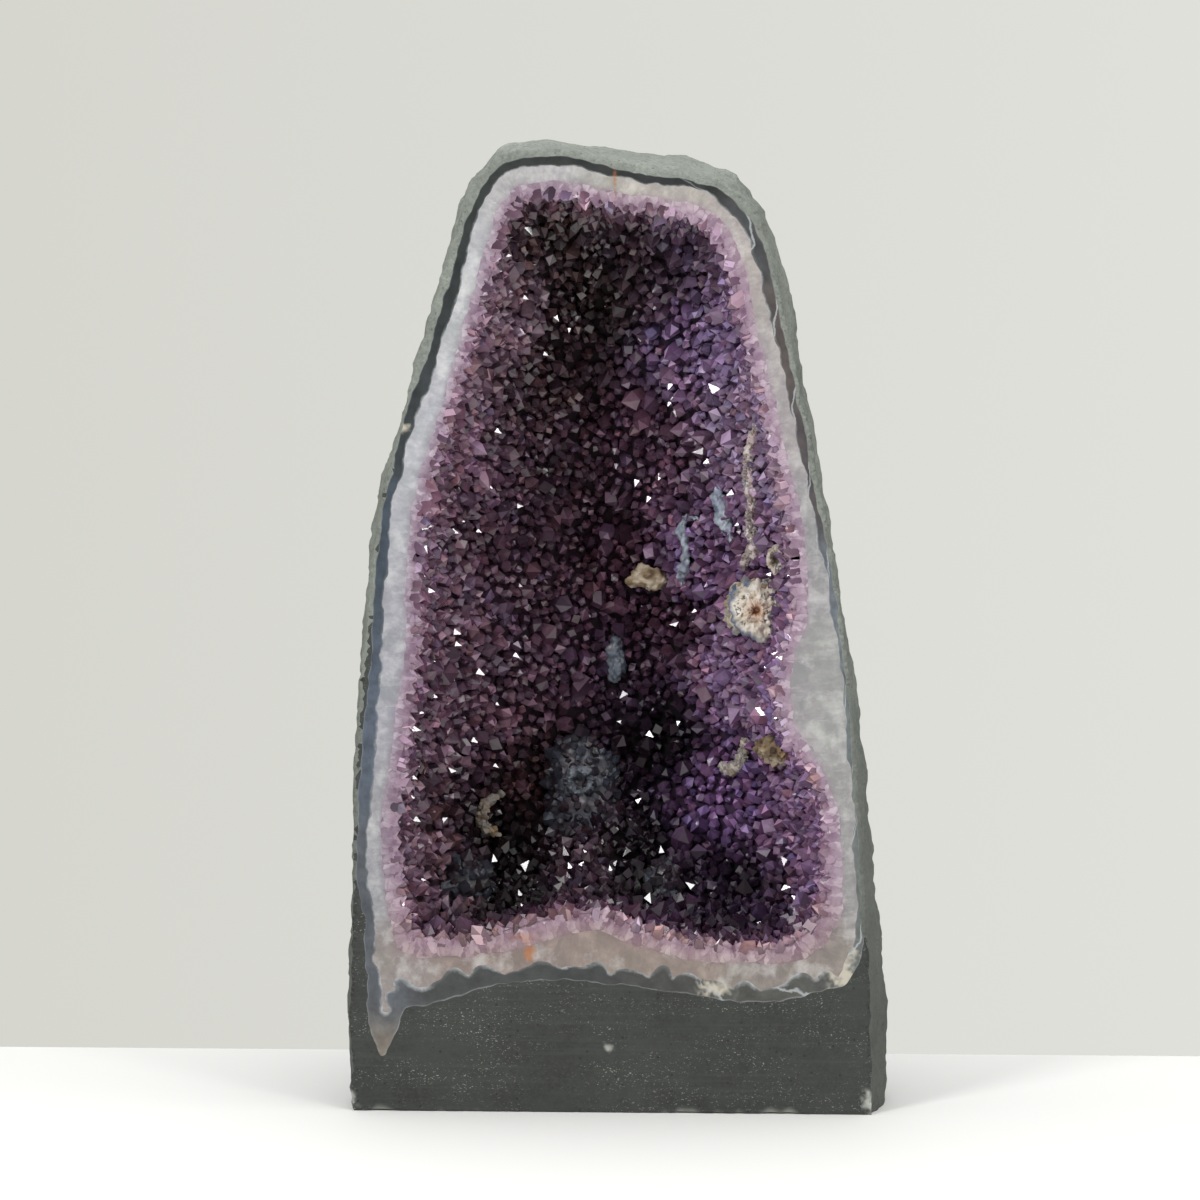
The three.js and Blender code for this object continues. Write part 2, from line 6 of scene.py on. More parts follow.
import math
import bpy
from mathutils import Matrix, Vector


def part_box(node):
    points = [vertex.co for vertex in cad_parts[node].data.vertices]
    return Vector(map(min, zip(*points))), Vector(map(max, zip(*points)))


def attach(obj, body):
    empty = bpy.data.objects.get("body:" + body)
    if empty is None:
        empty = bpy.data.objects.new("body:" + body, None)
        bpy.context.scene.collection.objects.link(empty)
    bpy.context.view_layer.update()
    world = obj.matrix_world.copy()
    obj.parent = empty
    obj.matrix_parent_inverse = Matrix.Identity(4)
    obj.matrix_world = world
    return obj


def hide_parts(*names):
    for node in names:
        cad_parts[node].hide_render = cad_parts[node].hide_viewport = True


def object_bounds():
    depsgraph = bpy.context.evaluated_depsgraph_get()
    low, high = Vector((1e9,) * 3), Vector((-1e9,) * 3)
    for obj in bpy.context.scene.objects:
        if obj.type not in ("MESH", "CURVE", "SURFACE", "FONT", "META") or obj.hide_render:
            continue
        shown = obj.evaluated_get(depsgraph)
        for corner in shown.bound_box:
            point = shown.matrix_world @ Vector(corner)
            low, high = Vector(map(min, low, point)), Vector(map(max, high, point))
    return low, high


bl_info = {
    "name": "Amethyst geode",
    "version": (1, 0, 0),
    "blender": (4, 5, 0),
    "location": "View3D > Sidebar > Geode",
    "description": "Builds the layers, crystals and growths of a sawn amethyst geode",
    "category": "Object",
}

import bmesh
import bpy
import numpy as np
from bpy.props import FloatProperty, FloatVectorProperty, IntProperty, PointerProperty
from mathutils import Vector, noise
from mathutils.geometry import delaunay_2d_cdt

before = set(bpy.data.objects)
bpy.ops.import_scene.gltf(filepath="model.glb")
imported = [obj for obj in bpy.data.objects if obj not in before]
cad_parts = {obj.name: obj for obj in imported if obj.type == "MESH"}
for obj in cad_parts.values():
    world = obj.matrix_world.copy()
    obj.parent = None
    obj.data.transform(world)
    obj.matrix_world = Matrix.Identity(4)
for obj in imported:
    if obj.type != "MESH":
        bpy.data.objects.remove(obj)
FRAME_LOW, FRAME_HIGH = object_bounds()

MM = 0.001
FRONT = FRAME_LOW.y  # the plane of the sawn front, which faces -Y
FRONT_TALL = 1.8  # how many times as tall as it is wide the front is
GROWTH_NODES = (
    "rosette",
    "rosette_ring",
    "vein_ridge",
    "pale_blade",
    "blue_ribbon",
    "tan_knob",
    "cream_finger",
    "cream_block",
    "grey_stub",
    "ring_cluster",
    "pale_shell",
    "grey_cluster_left",
    "grey_cluster_right",
)


# ---- Sizes and colours --------------------------------------------------------------------------


def length(name, description, millimetres):
    return FloatProperty(
        name=name, description=description, default=millimetres * MM, subtype="DISTANCE", unit="LENGTH"
    )


def colour(name, description, value):
    return FloatVectorProperty(
        name=name, description=description, default=value, subtype="COLOR", min=0, max=1
    )


class GeodeSizes(bpy.types.PropertyGroup):
    """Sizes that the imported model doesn't give."""

    outline_step: length("Outline step", "Between the points of an outline on the sawn front", 1.0)
    outline_rounding: length("Outline rounding", "Over which an outline's corners are rounded", 3.0)
    band_grain: length("Band grain", "Between the points inside a band of the sawn front", 1.15)
    band_thickness: length("Band thickness", "How far a band's edges run back from the sawn front", 5.0)
    scallop: length("Scallop", "Height of the agate's scallops along the foot of the cavity", 3.8)
    scallop_width: length("Scallop width", "Width of each scallop", 19.0)
    cavity_depth: length("Cavity depth", "From the sawn front to the deepest of the bed", 116.0)
    crystal_spacing: length("Crystal spacing", "Between neighbouring crystal points in the cavity", 4.15)
    rim_spacing: length("Rim spacing", "Between neighbouring crystal points at the mouth", 4.0)
    tooth: length("Tooth", "How far the cut crystals of the rim reach into the mouth", 3.4)
    skin_lump: length("Skin lumps", "Height of the low lumps on the rough skin", 2.0)
    skin_pit: length("Skin pits", "Height of the fine roughness on the skin", 1.1)
    chip: length("Chips", "Depth of the chips along the base's front edge", 1.8)
    worn_edge: length("Worn edge", "Width of the worn edge between the sawn front and the skin", 2.6)
    cavity_fullness: FloatProperty(
        name="Cavity fullness", description="2 is an ellipsoid's back, and less is more pointed", default=1.9
    )
    crystal_tries: IntProperty(
        name="Crystal tries", description="Places that are tried for a crystal point", default=60000
    )
    glinting: IntProperty(
        name="Glinting points", description="Crystal points with a face turned to catch a lamp", default=105
    )


class GeodeColours(bpy.types.PropertyGroup):
    """Colours of the layers and the growths."""

    skin_light: colour("Skin, light", "Raised parts of the rough skin", (0.32, 0.345, 0.305))
    skin_dark: colour("Skin, dark", "Hollows of the rough skin", (0.15, 0.165, 0.145))
    sawn: colour("Sawn rock", "Host rock on the sawn face", (0.016, 0.018, 0.0155))
    sawn_pale: colour("Sawn rock, pale", "Paler grains in the sawn rock", (0.052, 0.057, 0.050))
    fleck: colour("Flecks", "Small pale flecks in the sawn rock", (0.42, 0.43, 0.39))
    outline: colour("Agate outline", "The thin pale lines along the agate", (0.42, 0.44, 0.45))
    lilac: colour("Lilac", "The crystals where they start from the quartz", (0.30, 0.20, 0.265))
    blush: colour("Blush", "The cut crystals along the foot of the cavity", (0.33, 0.21, 0.215))
    violet: colour("Violet", "Crystals in the outer part of the cavity", (0.21, 0.095, 0.175))
    cream: colour("Cream", "Calcite crust", (0.66, 0.57, 0.45))
    rust: colour("Rust", "The heart of the rosette", (0.40, 0.17, 0.06))
    peach: colour("Peach", "Round the heart of the rosette", (0.68, 0.46, 0.34))
    speck: colour("Specks", "Black-green specks on the calcite", (0.05, 0.05, 0.035))
    tan: colour("Tan", "Tan calcite crust", (0.36, 0.26, 0.15))
    brown: colour("Brown", "Darker ends of the tan crust", (0.10, 0.06, 0.03))
    slate: colour("Slate", "Blue-grey chalcedony", (0.19, 0.24, 0.33))
    ice: colour("Ice", "Blue-white edges of the chalcedony", (0.50, 0.56, 0.64))
    murk: colour("Murk", "Dark blue-grey of the ring cluster", (0.036, 0.040, 0.054))
    stain: colour("Stain", "Orange-brown iron stain", (0.38, 0.14, 0.04))


# ---- Outlines of the sawn front -----------------------------------------------------------------


def joined(node):
    """A CAD node's mesh with its split vertices joined."""
    bm = bmesh.new()
    bm.from_mesh(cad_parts[node].data)
    bmesh.ops.remove_doubles(bm, verts=bm.verts, dist=1e-6)
    return bm


def on_front(face):
    """Whether a face lies in the sawn front."""
    return all(abs(v.co.y - FRONT) < 1e-5 for v in face.verts)


def chains(edges):
    """Edges joined end to end, as lists of vertices."""
    links = {}
    for e in edges:
        for v in e.verts:
            links.setdefault(v, []).append(e)
    unused = set(edges)

    def run_on(chain):
        while ahead := [e for e in links[chain[-1]] if e in unused]:
            unused.remove(ahead[0])
            chain.append(ahead[0].other_vert(chain[-1]))

    found = []
    while unused:
        edge = min(unused, key=lambda e: e.index)
        unused.remove(edge)
        chain = list(edge.verts)
        run_on(chain)
        if chain[0] is not chain[-1]:
            chain.reverse()
            run_on(chain)
        found.append(chain[:-1] if chain[0] is chain[-1] else chain)
    return found


def signed_area(loop):
    x, z = loop[:, 0], loop[:, 1]
    return 0.5 * np.sum(x * np.roll(z, -1) - np.roll(x, -1) * z)


def anticlockwise(loop):
    return loop if signed_area(loop) > 0 else loop[::-1]


def front_outlines(node):
    """The outlines of a node's sawn front as arrays of (x, z), anticlockwise, the largest first."""
    bm = joined(node)
    bm.edges.index_update()
    edges = [e for e in bm.edges if sum(on_front(f) for f in e.link_faces) == 1]
    loops = [np.array([(v.co.x, v.co.z) for v in chain]) for chain in chains(edges)]
    bm.free()
    return sorted(map(anticlockwise, loops), key=signed_area, reverse=True)


def evenly(loop, step):
    """A closed outline as evenly spaced points."""
    closed = np.vstack([loop, loop[:1]])
    run = np.concatenate([[0], np.cumsum(np.linalg.norm(np.diff(closed, axis=0), axis=1))])
    at = np.arange(0, run[-1], run[-1] / round(run[-1] / step))
    return np.stack([np.interp(at, run, closed[:, k]) for k in (0, 1)], axis=1)


def rounded(loop, step, reach):
    """An outline with its corners rounded over about that reach."""
    fine = evenly(loop, step)
    spread = max(1, round(reach / step))
    taps = np.arange(-3 * spread, 3 * spread + 1)
    weights = np.exp(-0.5 * (taps / spread) ** 2)
    weights /= weights.sum()
    return sum(w * np.roll(fine, t, axis=0) for t, w in zip(taps, weights))


def outwards(loop):
    """The direction out of an anticlockwise loop at each of its points."""
    along = np.roll(loop, -1, axis=0) - np.roll(loop, 1, axis=0)
    along /= np.linalg.norm(along, axis=1)[:, None]
    return np.stack([along[:, 1], -along[:, 0]], axis=1)


def rough(points, scale, octaves=3, seed=0.0):
    """Layered noise, from about -1 to 1, at each point of an array."""
    shift = Vector((seed * 3.17, seed * 1.31, seed * 2.09))
    where = np.column_stack([points, np.zeros(len(points))])[:, :3] * scale
    return np.array([noise.fractal(Vector(p) + shift, 1.0, 2.0, octaves) for p in where])


def ragged(loop, waves, seed):
    """An outline moved in and out by noise: each wave is (how many to the metre, height)."""
    out = outwards(loop)
    shift = sum(rough(loop, scale, 2, seed + i) * height for i, (scale, height) in enumerate(waves))
    return loop + out * shift[:, None]


def inside(points, loop):
    """Which points are inside an outline."""
    x, z = points[:, 0], points[:, 1]
    odd = np.zeros(len(points), bool)
    for (ax, az), (bx, bz) in zip(loop, np.roll(loop, -1, axis=0)):
        if az == bz:
            continue
        crosses = (az > z) != (bz > z)
        odd ^= crosses & (x < (bx - ax) * (z - az) / (bz - az) + ax)
    return odd


def inside_region(points, outer, holes):
    """Which points are inside one outline and outside others."""
    keep = inside(points, outer)
    for hole in holes:
        keep &= ~inside(points, hole)
    return keep


def nearest(points, loop):
    """How far each point is from a loop's points, and which of them is the nearest."""
    gaps = [np.linalg.norm(loop - p, axis=1) for p in points]
    return np.array([g.min() for g in gaps]), np.array([g.argmin() for g in gaps])


def scalloped(loop, width, height, top):
    """An outline with scallops bulging into it, only where it is lower than `top`."""
    run = np.arange(len(loop)) * np.linalg.norm(loop[1] - loop[0])
    wander = rough(loop, 30, 2, 11) * 2.5  # so that no two scallops are as wide
    arches = np.abs(np.sin(math.pi * run / width + wander))
    low = np.clip((top - loop[:, 1]) / (15 * MM), 0, 1)
    return loop + outwards(loop) * ((0.5 - arches) * height * low)[:, None]


# The node whose hole in the sawn front is the outer edge of each layer.
HOLE_OF = {"agate": "host_rock", "quartz": "agate_rind", "bed": "quartz_band", "mouth": "amethyst_bed"}
SCALLOPS_BELOW = 78 * MM


class Outlines:
    """The edges between the layers on the sawn front, shared by the pieces on both sides of each."""

    made = {}

    @classmethod
    def get(cls, name):
        if not cls.made:
            cls.build()
        return cls.made[name]

    @classmethod
    def build(cls):
        s = bpy.context.scene.geode_sizes
        smooth = {}
        for name, node in HOLE_OF.items():
            smooth[name] = rounded(front_outlines(node)[1], s.outline_step, s.outline_rounding)
        quartz = ragged(smooth["quartz"], [(60, 1.7 * MM), (190, 0.9 * MM)], 9)
        cls.made = {
            "agate": ragged(smooth["agate"], [(45, 1.0 * MM), (170, 0.9 * MM)], 3),
            "quartz": scalloped(quartz, s.scallop_width, s.scallop, SCALLOPS_BELOW),
            "bed": ragged(smooth["bed"], [(90, 1.2 * MM), (330, 0.7 * MM)], 14),
            "mouth": smooth["mouth"],
        }


# ---- Meshes -------------------------------------------------------------------------------------


def piece(name, mesh, looks, nodes=(), slot=None):
    """An object for a finished mesh, with its looks, riding on the stone."""
    made = bpy.data.objects.new(name, mesh)
    bpy.context.scene.collection.objects.link(made)
    for made_look in looks:
        mesh.materials.append(made_look)
    if nodes:
        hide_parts(*nodes)
    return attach(made, "root")


def move_all(bm, points):
    for v, p in zip(bm.verts, points):
        v.co = p


def all_smooth(mesh):
    for p in mesh.polygons:
        p.use_smooth = True


def rings_of_faces(rows, count):
    """Four-sided faces between closed rows of so many points."""
    return [
        (r * count + i, r * count + (i + 1) % count, (r + 1) * count + (i + 1) % count, (r + 1) * count + i)
        for r in range(rows - 1)
        for i in range(count)
    ]


def mesh_of(name, points, faces):
    mesh = bpy.data.meshes.new(name)
    mesh.from_pydata([tuple(p) for p in points], [], [tuple(f) for f in faces])
    mesh.validate()
    mesh.update()
    return mesh


def give_value(mesh, name, values, domain="POINT"):
    data = mesh.attributes.new(name, "FLOAT", domain).data
    data.foreach_set("value", np.asarray(values, np.float32))


def give_colour(mesh, name, values):
    four = np.column_stack([values, np.ones(len(values))]).astype(np.float32)
    mesh.attributes.new(name, "FLOAT_COLOR", "POINT").data.foreach_set("color", four.ravel())


def lattice(low, high, step):
    """Places on a triangular lattice over a rectangle, each a little out of line."""
    random = np.random.default_rng(4)
    rows = np.arange(low[1], high[1], step * 0.87)
    columns = np.arange(low[0], high[0], step)
    places = [(x + (step / 2 if i % 2 else 0), z) for i, z in enumerate(rows) for x in columns]
    return np.array(places) + random.uniform(-0.2, 0.2, (len(places), 2)) * step


def flat_region(outer, holes, step):
    """Triangles over the space inside one outline and outside others, as (points, faces)."""
    inner = lattice(outer.min(0), outer.max(0), step)
    inner = inner[inside_region(inner, outer, holes)]
    clear = np.ones(len(inner), bool)
    for loop in (outer, *holes):
        clear &= nearest(inner, loop)[0] > 0.6 * step
    inner = inner[clear]
    edges = []
    points = []
    for loop in (outer, *holes):  # an edge from each point of an outline to its next
        start = len(points)
        points += [Vector(p) for p in loop]
        edges += [(start + i, start + (i + 1) % len(loop)) for i in range(len(loop))]
    points += [Vector(p) for p in inner]
    made = delaunay_2d_cdt(points, edges, [], 0, 1e-7)
    places = np.array([(p.x, p.y) for p in made[0]])
    faces = np.array([f for f in made[2]])
    return places, faces[inside_region(places[faces].mean(1), outer, holes)]


def standing(places, depth=0.0):
    """Places on the front as points in space, so far behind the sawn front."""
    return np.column_stack([places[:, 0], np.full(len(places), FRONT) + depth, places[:, 1]])


def facing_front(points, faces):
    """The faces turned so that they look out of the sawn front."""
    a, b, c = (points[faces[:, k]] for k in range(3))
    back = np.cross(b - a, c - a)[:, 1] > 0
    faces = faces.copy()
    faces[back] = faces[back][:, ::-1]
    return faces


def with_edges_back(mesh, depth):
    """The mesh with walls running back from its open edges."""
    bm = bmesh.new()
    bm.from_mesh(mesh)
    rim = [e for e in bm.edges if e.is_boundary]
    grown = bmesh.ops.extrude_edge_only(bm, edges=rim)["geom"]
    for v in {v for v in grown if isinstance(v, bmesh.types.BMVert)}:
        v.co.y += depth
    bmesh.ops.recalc_face_normals(bm, faces=bm.faces)
    bm.to_mesh(mesh)
    bm.free()
    return mesh


def band(name, outer, inner, relief):
    """A flat band between two outlines of the sawn front, that knows how far across and along it each
    point is. `relief` gives how far back a point is, from its place and how far across it is."""
    s = bpy.context.scene.geode_sizes
    places, faces = flat_region(outer, [inner], s.band_grain)
    out, nth = nearest(places, outer)
    into, _ = nearest(places, inner)
    across = out / (out + into + 1e-9)
    points = standing(places, relief(places, across))
    mesh = mesh_of(name, points, facing_front(points, faces))
    give_value(mesh, "Across", across)
    give_value(mesh, "Along", nth * s.outline_step)
    return mesh, places, across


def shares_of_front(places):
    """How far across and how far up the front each place is, from 0 to 1."""
    low = np.array([FRAME_LOW.x, 0.0])
    size = np.array([FRAME_HIGH.x - FRAME_LOW.x, FRAME_HIGH.z])
    return (places - low) / size


def blend_tints(places, tints):
    """A colour at each place, blended from the nearest of some tints. Each tint is (how far across the
    front it is, how far up, its colour), with both from 0 to 1."""
    where = shares_of_front(places) * np.array([1.0, FRONT_TALL])
    total = np.zeros((len(places), 3))
    weight = np.zeros(len(places))
    for across, up, tint in tints:
        away = np.linalg.norm(where - np.array([across, up * FRONT_TALL]), axis=1)
        w = 1 / (away**4 + 1e-5)
        total += w[:, None] * np.array(tint)
        weight += w
    return total / weight[:, None]


# ---- Shader nodes -------------------------------------------------------------------------------


def give(tree, socket, value):
    """Links a value to a socket, or sets it there."""
    if isinstance(value, bpy.types.NodeSocket):
        tree.links.new(value, socket)
    else:
        socket.default_value = value


def add(tree, kind, inputs=None, **settings):
    """A node, with its settings, and its inputs by name or number."""
    made = tree.nodes.new(kind)
    for key, value in settings.items():
        setattr(made, key, value)
    for key, value in (inputs or {}).items():
        give(tree, made.inputs[key], value)
    return made


def mix(tree, factor, first, second, blend="MIX"):
    """Two colours mixed: all of the first where the factor is 0, all of the second where it is 1."""
    inputs = {0: factor, 6: first, 7: second}
    return add(tree, "ShaderNodeMix", inputs, data_type="RGBA", blend_type=blend).outputs[2]


# Near black: painted shade, put into the pits of the sawn rock.
PAINTED_PIT_SHADE = (0.008, 0.008, 0.008, 1)


def rgba(value):
    return (*value, 1.0)


def between(tree, value, low, high, to_low=0.0, to_high=1.0):
    """A value taken from one range to another, and kept inside it."""
    inputs = dict(enumerate((value, low, high, to_low, to_high)))
    return add(tree, "ShaderNodeMapRange", inputs, clamp=True).outputs[0]


def maths(tree, operation, *values):
    """Arithmetic on values, each of which is a socket or a number."""
    return add(tree, "ShaderNodeMath", dict(enumerate(values)), operation=operation).outputs[0]


def times(tree, first, second):
    return maths(tree, "MULTIPLY", first, second)


def multiplied(tree, tint, by):
    """A tint multiplied by a colour."""
    return mix(tree, 1.0, tint, by, "MULTIPLY")


def value_of(tree, name):
    """A value that the mesh carries."""
    return add(tree, "ShaderNodeAttribute", attribute_name=name).outputs["Fac"]


def colour_of(tree, name):
    """A colour that the mesh carries."""
    return add(tree, "ShaderNodeAttribute", attribute_name=name).outputs["Color"]


def object_place(tree):
    return add(tree, "ShaderNodeTexCoord").outputs["Object"]


def one_axis(tree, vector, axis):
    return add(tree, "ShaderNodeSeparateXYZ", inputs={"Vector": vector}).outputs[axis]


def noise_of(tree, vector, scale, detail, **more):
    """Noise in space. More of its inputs may be given by name."""
    inputs = {"Vector": vector, "Scale": scale, "Detail": detail, **more}
    return add(tree, "ShaderNodeTexNoise", inputs).outputs["Fac"]


def group(name, inputs, outputs, build):
    """A node group built once, with its inputs and their defaults by name, and its outputs' names."""
    if name in bpy.data.node_groups:
        return bpy.data.node_groups[name]
    tree = bpy.data.node_groups.new(name, "ShaderNodeTree")
    for label, value in inputs.items():
        socket = tree.interface.new_socket(label, in_out="INPUT", socket_type="NodeSocketFloat")
        socket.default_value = value
    for label in outputs:
        tree.interface.new_socket(label, in_out="OUTPUT", socket_type="NodeSocketFloat")
    start = tree.nodes.new("NodeGroupInput")
    end = tree.nodes.new("NodeGroupOutput")
    for label, socket in build(tree, start.outputs).items():
        tree.links.new(socket, end.inputs[label])
    return tree


def use(tree, made, **values):
    """A group in a material. Values are set by socket name, with _ for a space."""
    inputs = {key.replace("_", " "): value for key, value in values.items()}
    return add(tree, "ShaderNodeGroup", inputs, node_tree=made).outputs


def grain_group():
    """Cloudy variation from 0 to 1, and a height for bump."""

    def build(tree, given):
        fine = noise_of(tree, object_place(tree), given["Scale"], 5.0, Roughness=0.62)
        return {"Value": between(tree, fine, 0.32, 0.68), "Height": fine}

    return group("Stone grain", {"Scale": 100.0}, ("Value", "Height"), build)


def grain(tree, scale):
    """Cloudy variation, as fine as `scale` waves to the metre."""
    return use(tree, grain_group(), Scale=scale)["Value"]


def grain_height(scale, fine_scale=None):
    """A function that makes the height of grain in a material's tree, with finer grain over it."""

    def height(tree):
        coarse = use(tree, grain_group(), Scale=scale)["Height"]
        if fine_scale is None:
            return coarse
        fine = use(tree, grain_group(), Scale=fine_scale)["Height"]
        return maths(tree, "ADD", coarse, times(tree, fine, 0.5))

    return height


def fleck_group():
    """A mask of small scattered flecks."""

    def build(tree, given):
        inputs = {"Vector": object_place(tree), "Scale": given["Scale"]}
        cells = add(tree, "ShaderNodeTexVoronoi", inputs)
        near = maths(tree, "LESS_THAN", cells.outputs["Distance"], given["Size"])
        picked = maths(tree, "LESS_THAN", lot_of(tree, cells), given["Share"])
        return {"Mask": times(tree, near, picked)}

    return group("Flecks", {"Scale": 400.0, "Size": 0.2, "Share": 0.3}, ("Mask",), build)


def lot_of(tree, cells):
    """A value from 0 to 1 that each cell draws for itself."""
    return add(tree, "ShaderNodeSeparateColor", inputs={"Color": cells.outputs["Color"]}).outputs["Red"]


def band_place(tree, given):
    """A place on a band, from how far along and across it is."""
    wide = times(tree, value_of(tree, "Along"), given["Per metre"])
    tall = times(tree, value_of(tree, "Across"), given["Length"])
    return add(tree, "ShaderNodeCombineXYZ", inputs={"X": wide, "Y": tall}).outputs[0]


def fibre_group():
    """Fine streaks across a band, at right angles to its edges."""

    def build(tree, given):
        drawn = noise_of(tree, band_place(tree, given), 1.0, 4.0, Roughness=0.6)
        return {"Value": between(tree, drawn, 0.35, 0.65), "Height": drawn}

    return group("Fibres", {"Per metre": 500.0, "Length": 1.2}, ("Value", "Height"), build)


def fibres(tree, per_metre, reach, output="Value"):
    return use(tree, fibre_group(), Per_metre=per_metre, Length=reach)[output]


def column_group():
    """Cut crystals side by side across a band: each its own value, and a mask of the lines between."""

    def build(tree, given):
        inputs = {"Vector": band_place(tree, given), "Scale": 1.0}
        cells = add(tree, "ShaderNodeTexVoronoi", inputs)
        edges = add(tree, "ShaderNodeTexVoronoi", inputs, feature="DISTANCE_TO_EDGE")
        line = between(tree, edges.outputs["Distance"], 0.0, 0.12, 1.0, 0.0)
        return {"Value": lot_of(tree, cells), "Line": line}

    return group("Cut columns", {"Per metre": 300.0, "Length": 1.2}, ("Value", "Line"), build)


def look(name, base, roughness, height=None, bump=0.3, distance=0.4 * MM, **fixed):
    """A material: base, roughness and height are built in its tree, by functions that are given the tree."""
    if name in bpy.data.materials:
        return bpy.data.materials[name]
    material = bpy.data.materials.new(name)
    material.use_nodes = True
    tree = material.node_tree
    shader = tree.nodes["Principled BSDF"]
    for key, value in fixed.items():
        shader.inputs[key.replace("_", " ")].default_value = value
    tree.links.new(base(tree), shader.inputs["Base Color"])
    give(tree, shader.inputs["Roughness"], roughness(tree) if callable(roughness) else roughness)
    if height is not None:
        inputs = {"Height": height(tree), "Strength": bump, "Distance": distance}
        bumps = add(tree, "ShaderNodeBump", inputs)
        tree.links.new(bumps.outputs[0], shader.inputs["Normal"])
    return material


# ---- Host rock ----------------------------------------------------------------------------------


def skin_look():
    c = bpy.context.scene.geode_colours

    def base(tree):
        broad = grain(tree, 45.0)
        fine = grain(tree, 420.0)
        shade = mix(tree, broad, rgba(c.skin_dark), rgba(c.skin_light))
        mottled = mix(tree, 0.55, shade, mix(tree, fine, rgba(c.skin_dark), rgba(c.skin_light)))
        dark = use(tree, fleck_group(), Scale=620.0, Size=0.30, Share=0.22)["Mask"]
        specked = mix(tree, times(tree, dark, 0.35), mottled, rgba(c.sawn))
        low_down = between(tree, one_axis(tree, object_place(tree), "Z"), 0.04, 0.22, 0.7, 0.0)
        return mix(tree, low_down, specked, rgba(c.sawn_pale))

    return look("Rough skin", base, 0.86, grain_height(230.0, 900.0), bump=0.9, distance=2.0 * MM)


def streaks(tree, along, across, detail=3.0):
    """Noise drawn out along X: how many waves to the metre it has along, and across."""
    inputs = {"Vector": object_place(tree), "Scale": (along, along, across)}
    drawn = add(tree, "ShaderNodeMapping", inputs)
    return noise_of(tree, drawn.outputs[0], 1.0, detail)


def saw_marks(tree):
    return streaks(tree, 18.0, 700.0)


def sawn_pits(tree):
    return use(tree, fleck_group(), Scale=330.0, Size=0.2, Share=0.16)["Mask"]


def sawn_look():
    c = bpy.context.scene.geode_colours

    def base(tree):
        broad = grain(tree, 42.0)
        fine = grain(tree, 900.0)
        shade = mix(tree, times(tree, broad, 0.45), rgba(c.sawn), rgba(c.sawn_pale))
        grained = mix(tree, times(tree, fine, 0.35), shade, rgba(c.sawn_pale))
        sawing = between(tree, saw_marks(tree), 0.52, 0.75, 0.0, 0.45)
        lined = mix(tree, sawing, grained, rgba(c.sawn_pale))
        rows = between(tree, streaks(tree, 25.0, 90.0), 0.40, 0.65)
        dots = between(tree, streaks(tree, 1100.0, 1900.0, 1.0), 0.66, 0.72)
        flecks = times(tree, times(tree, rows, dots), 0.6)
        flecked = mix(tree, flecks, lined, rgba(c.fleck))
        # Painted shade: the pits, which the bump also cuts in, are painted near black.
        shaded_pits = mix(tree, times(tree, sawn_pits(tree), 0.75), flecked, PAINTED_PIT_SHADE)
        return mix(tree, value_of(tree, "Worn"), shaded_pits, rgba(c.fleck))

    def roughness(tree):
        return between(tree, grain(tree, 300.0), 0.0, 1.0, 0.45, 0.65)

    def height(tree):
        return maths(tree, "SUBTRACT", times(tree, saw_marks(tree), 0.6), sawn_pits(tree))

    return look("Sawn rock", base, roughness, height, bump=0.35, distance=0.3 * MM)


# Where the skin is tucked in behind its sawn edge, in millimetres: x, z, spread, depth.
TUCKS = (
    (66, 392, 20, 3.0),
    (30, 412, 16, -2.6),
    (92, 310, 45, 2.4),
    (98, 240, 40, 3.6),
    (106, 110, 50, 2.0),
    (-72, 362, 30, 3.0),
)


def swells(x, z, spots, start=0.0):
    """The sum of some round swells at each point: a spot is (x, z, spread, height), in millimetres."""
    total = np.full(len(x), start)
    for spot_x, spot_z, spread, height in spots:
        away = (x - spot_x * MM) ** 2 + (z - spot_z * MM) ** 2
        total += height * MM * np.exp(-away / (2 * (spread * MM) ** 2))
    return total


def tucked(points):
    """How far in the skin is tucked at each point, growing from nothing at the sawn edge."""
    depth = swells(points[:, 0], points[:, 2], TUCKS, 0.4 * MM)
    return depth * np.clip((points[:, 1] - FRONT) / (10 * MM), 0, 1)


def reached_from(start):
    """The vertices that are joined to one by edges."""
    reached = {start}
    edge_of_search = [start]
    while edge_of_search:
        v = edge_of_search.pop()
        for e in v.link_edges:
            other = e.other_vert(v)
            if other not in reached:
                reached.add(other)
                edge_of_search.append(other)
    return reached


def divide(bm, times_over):
    for _ in range(times_over):
        bmesh.ops.subdivide_edges(bm, edges=bm.edges, cuts=1, use_grid_fill=True)


SKIN_DIVISIONS = 3
SKIN_SMOOTHING = 60  # turns


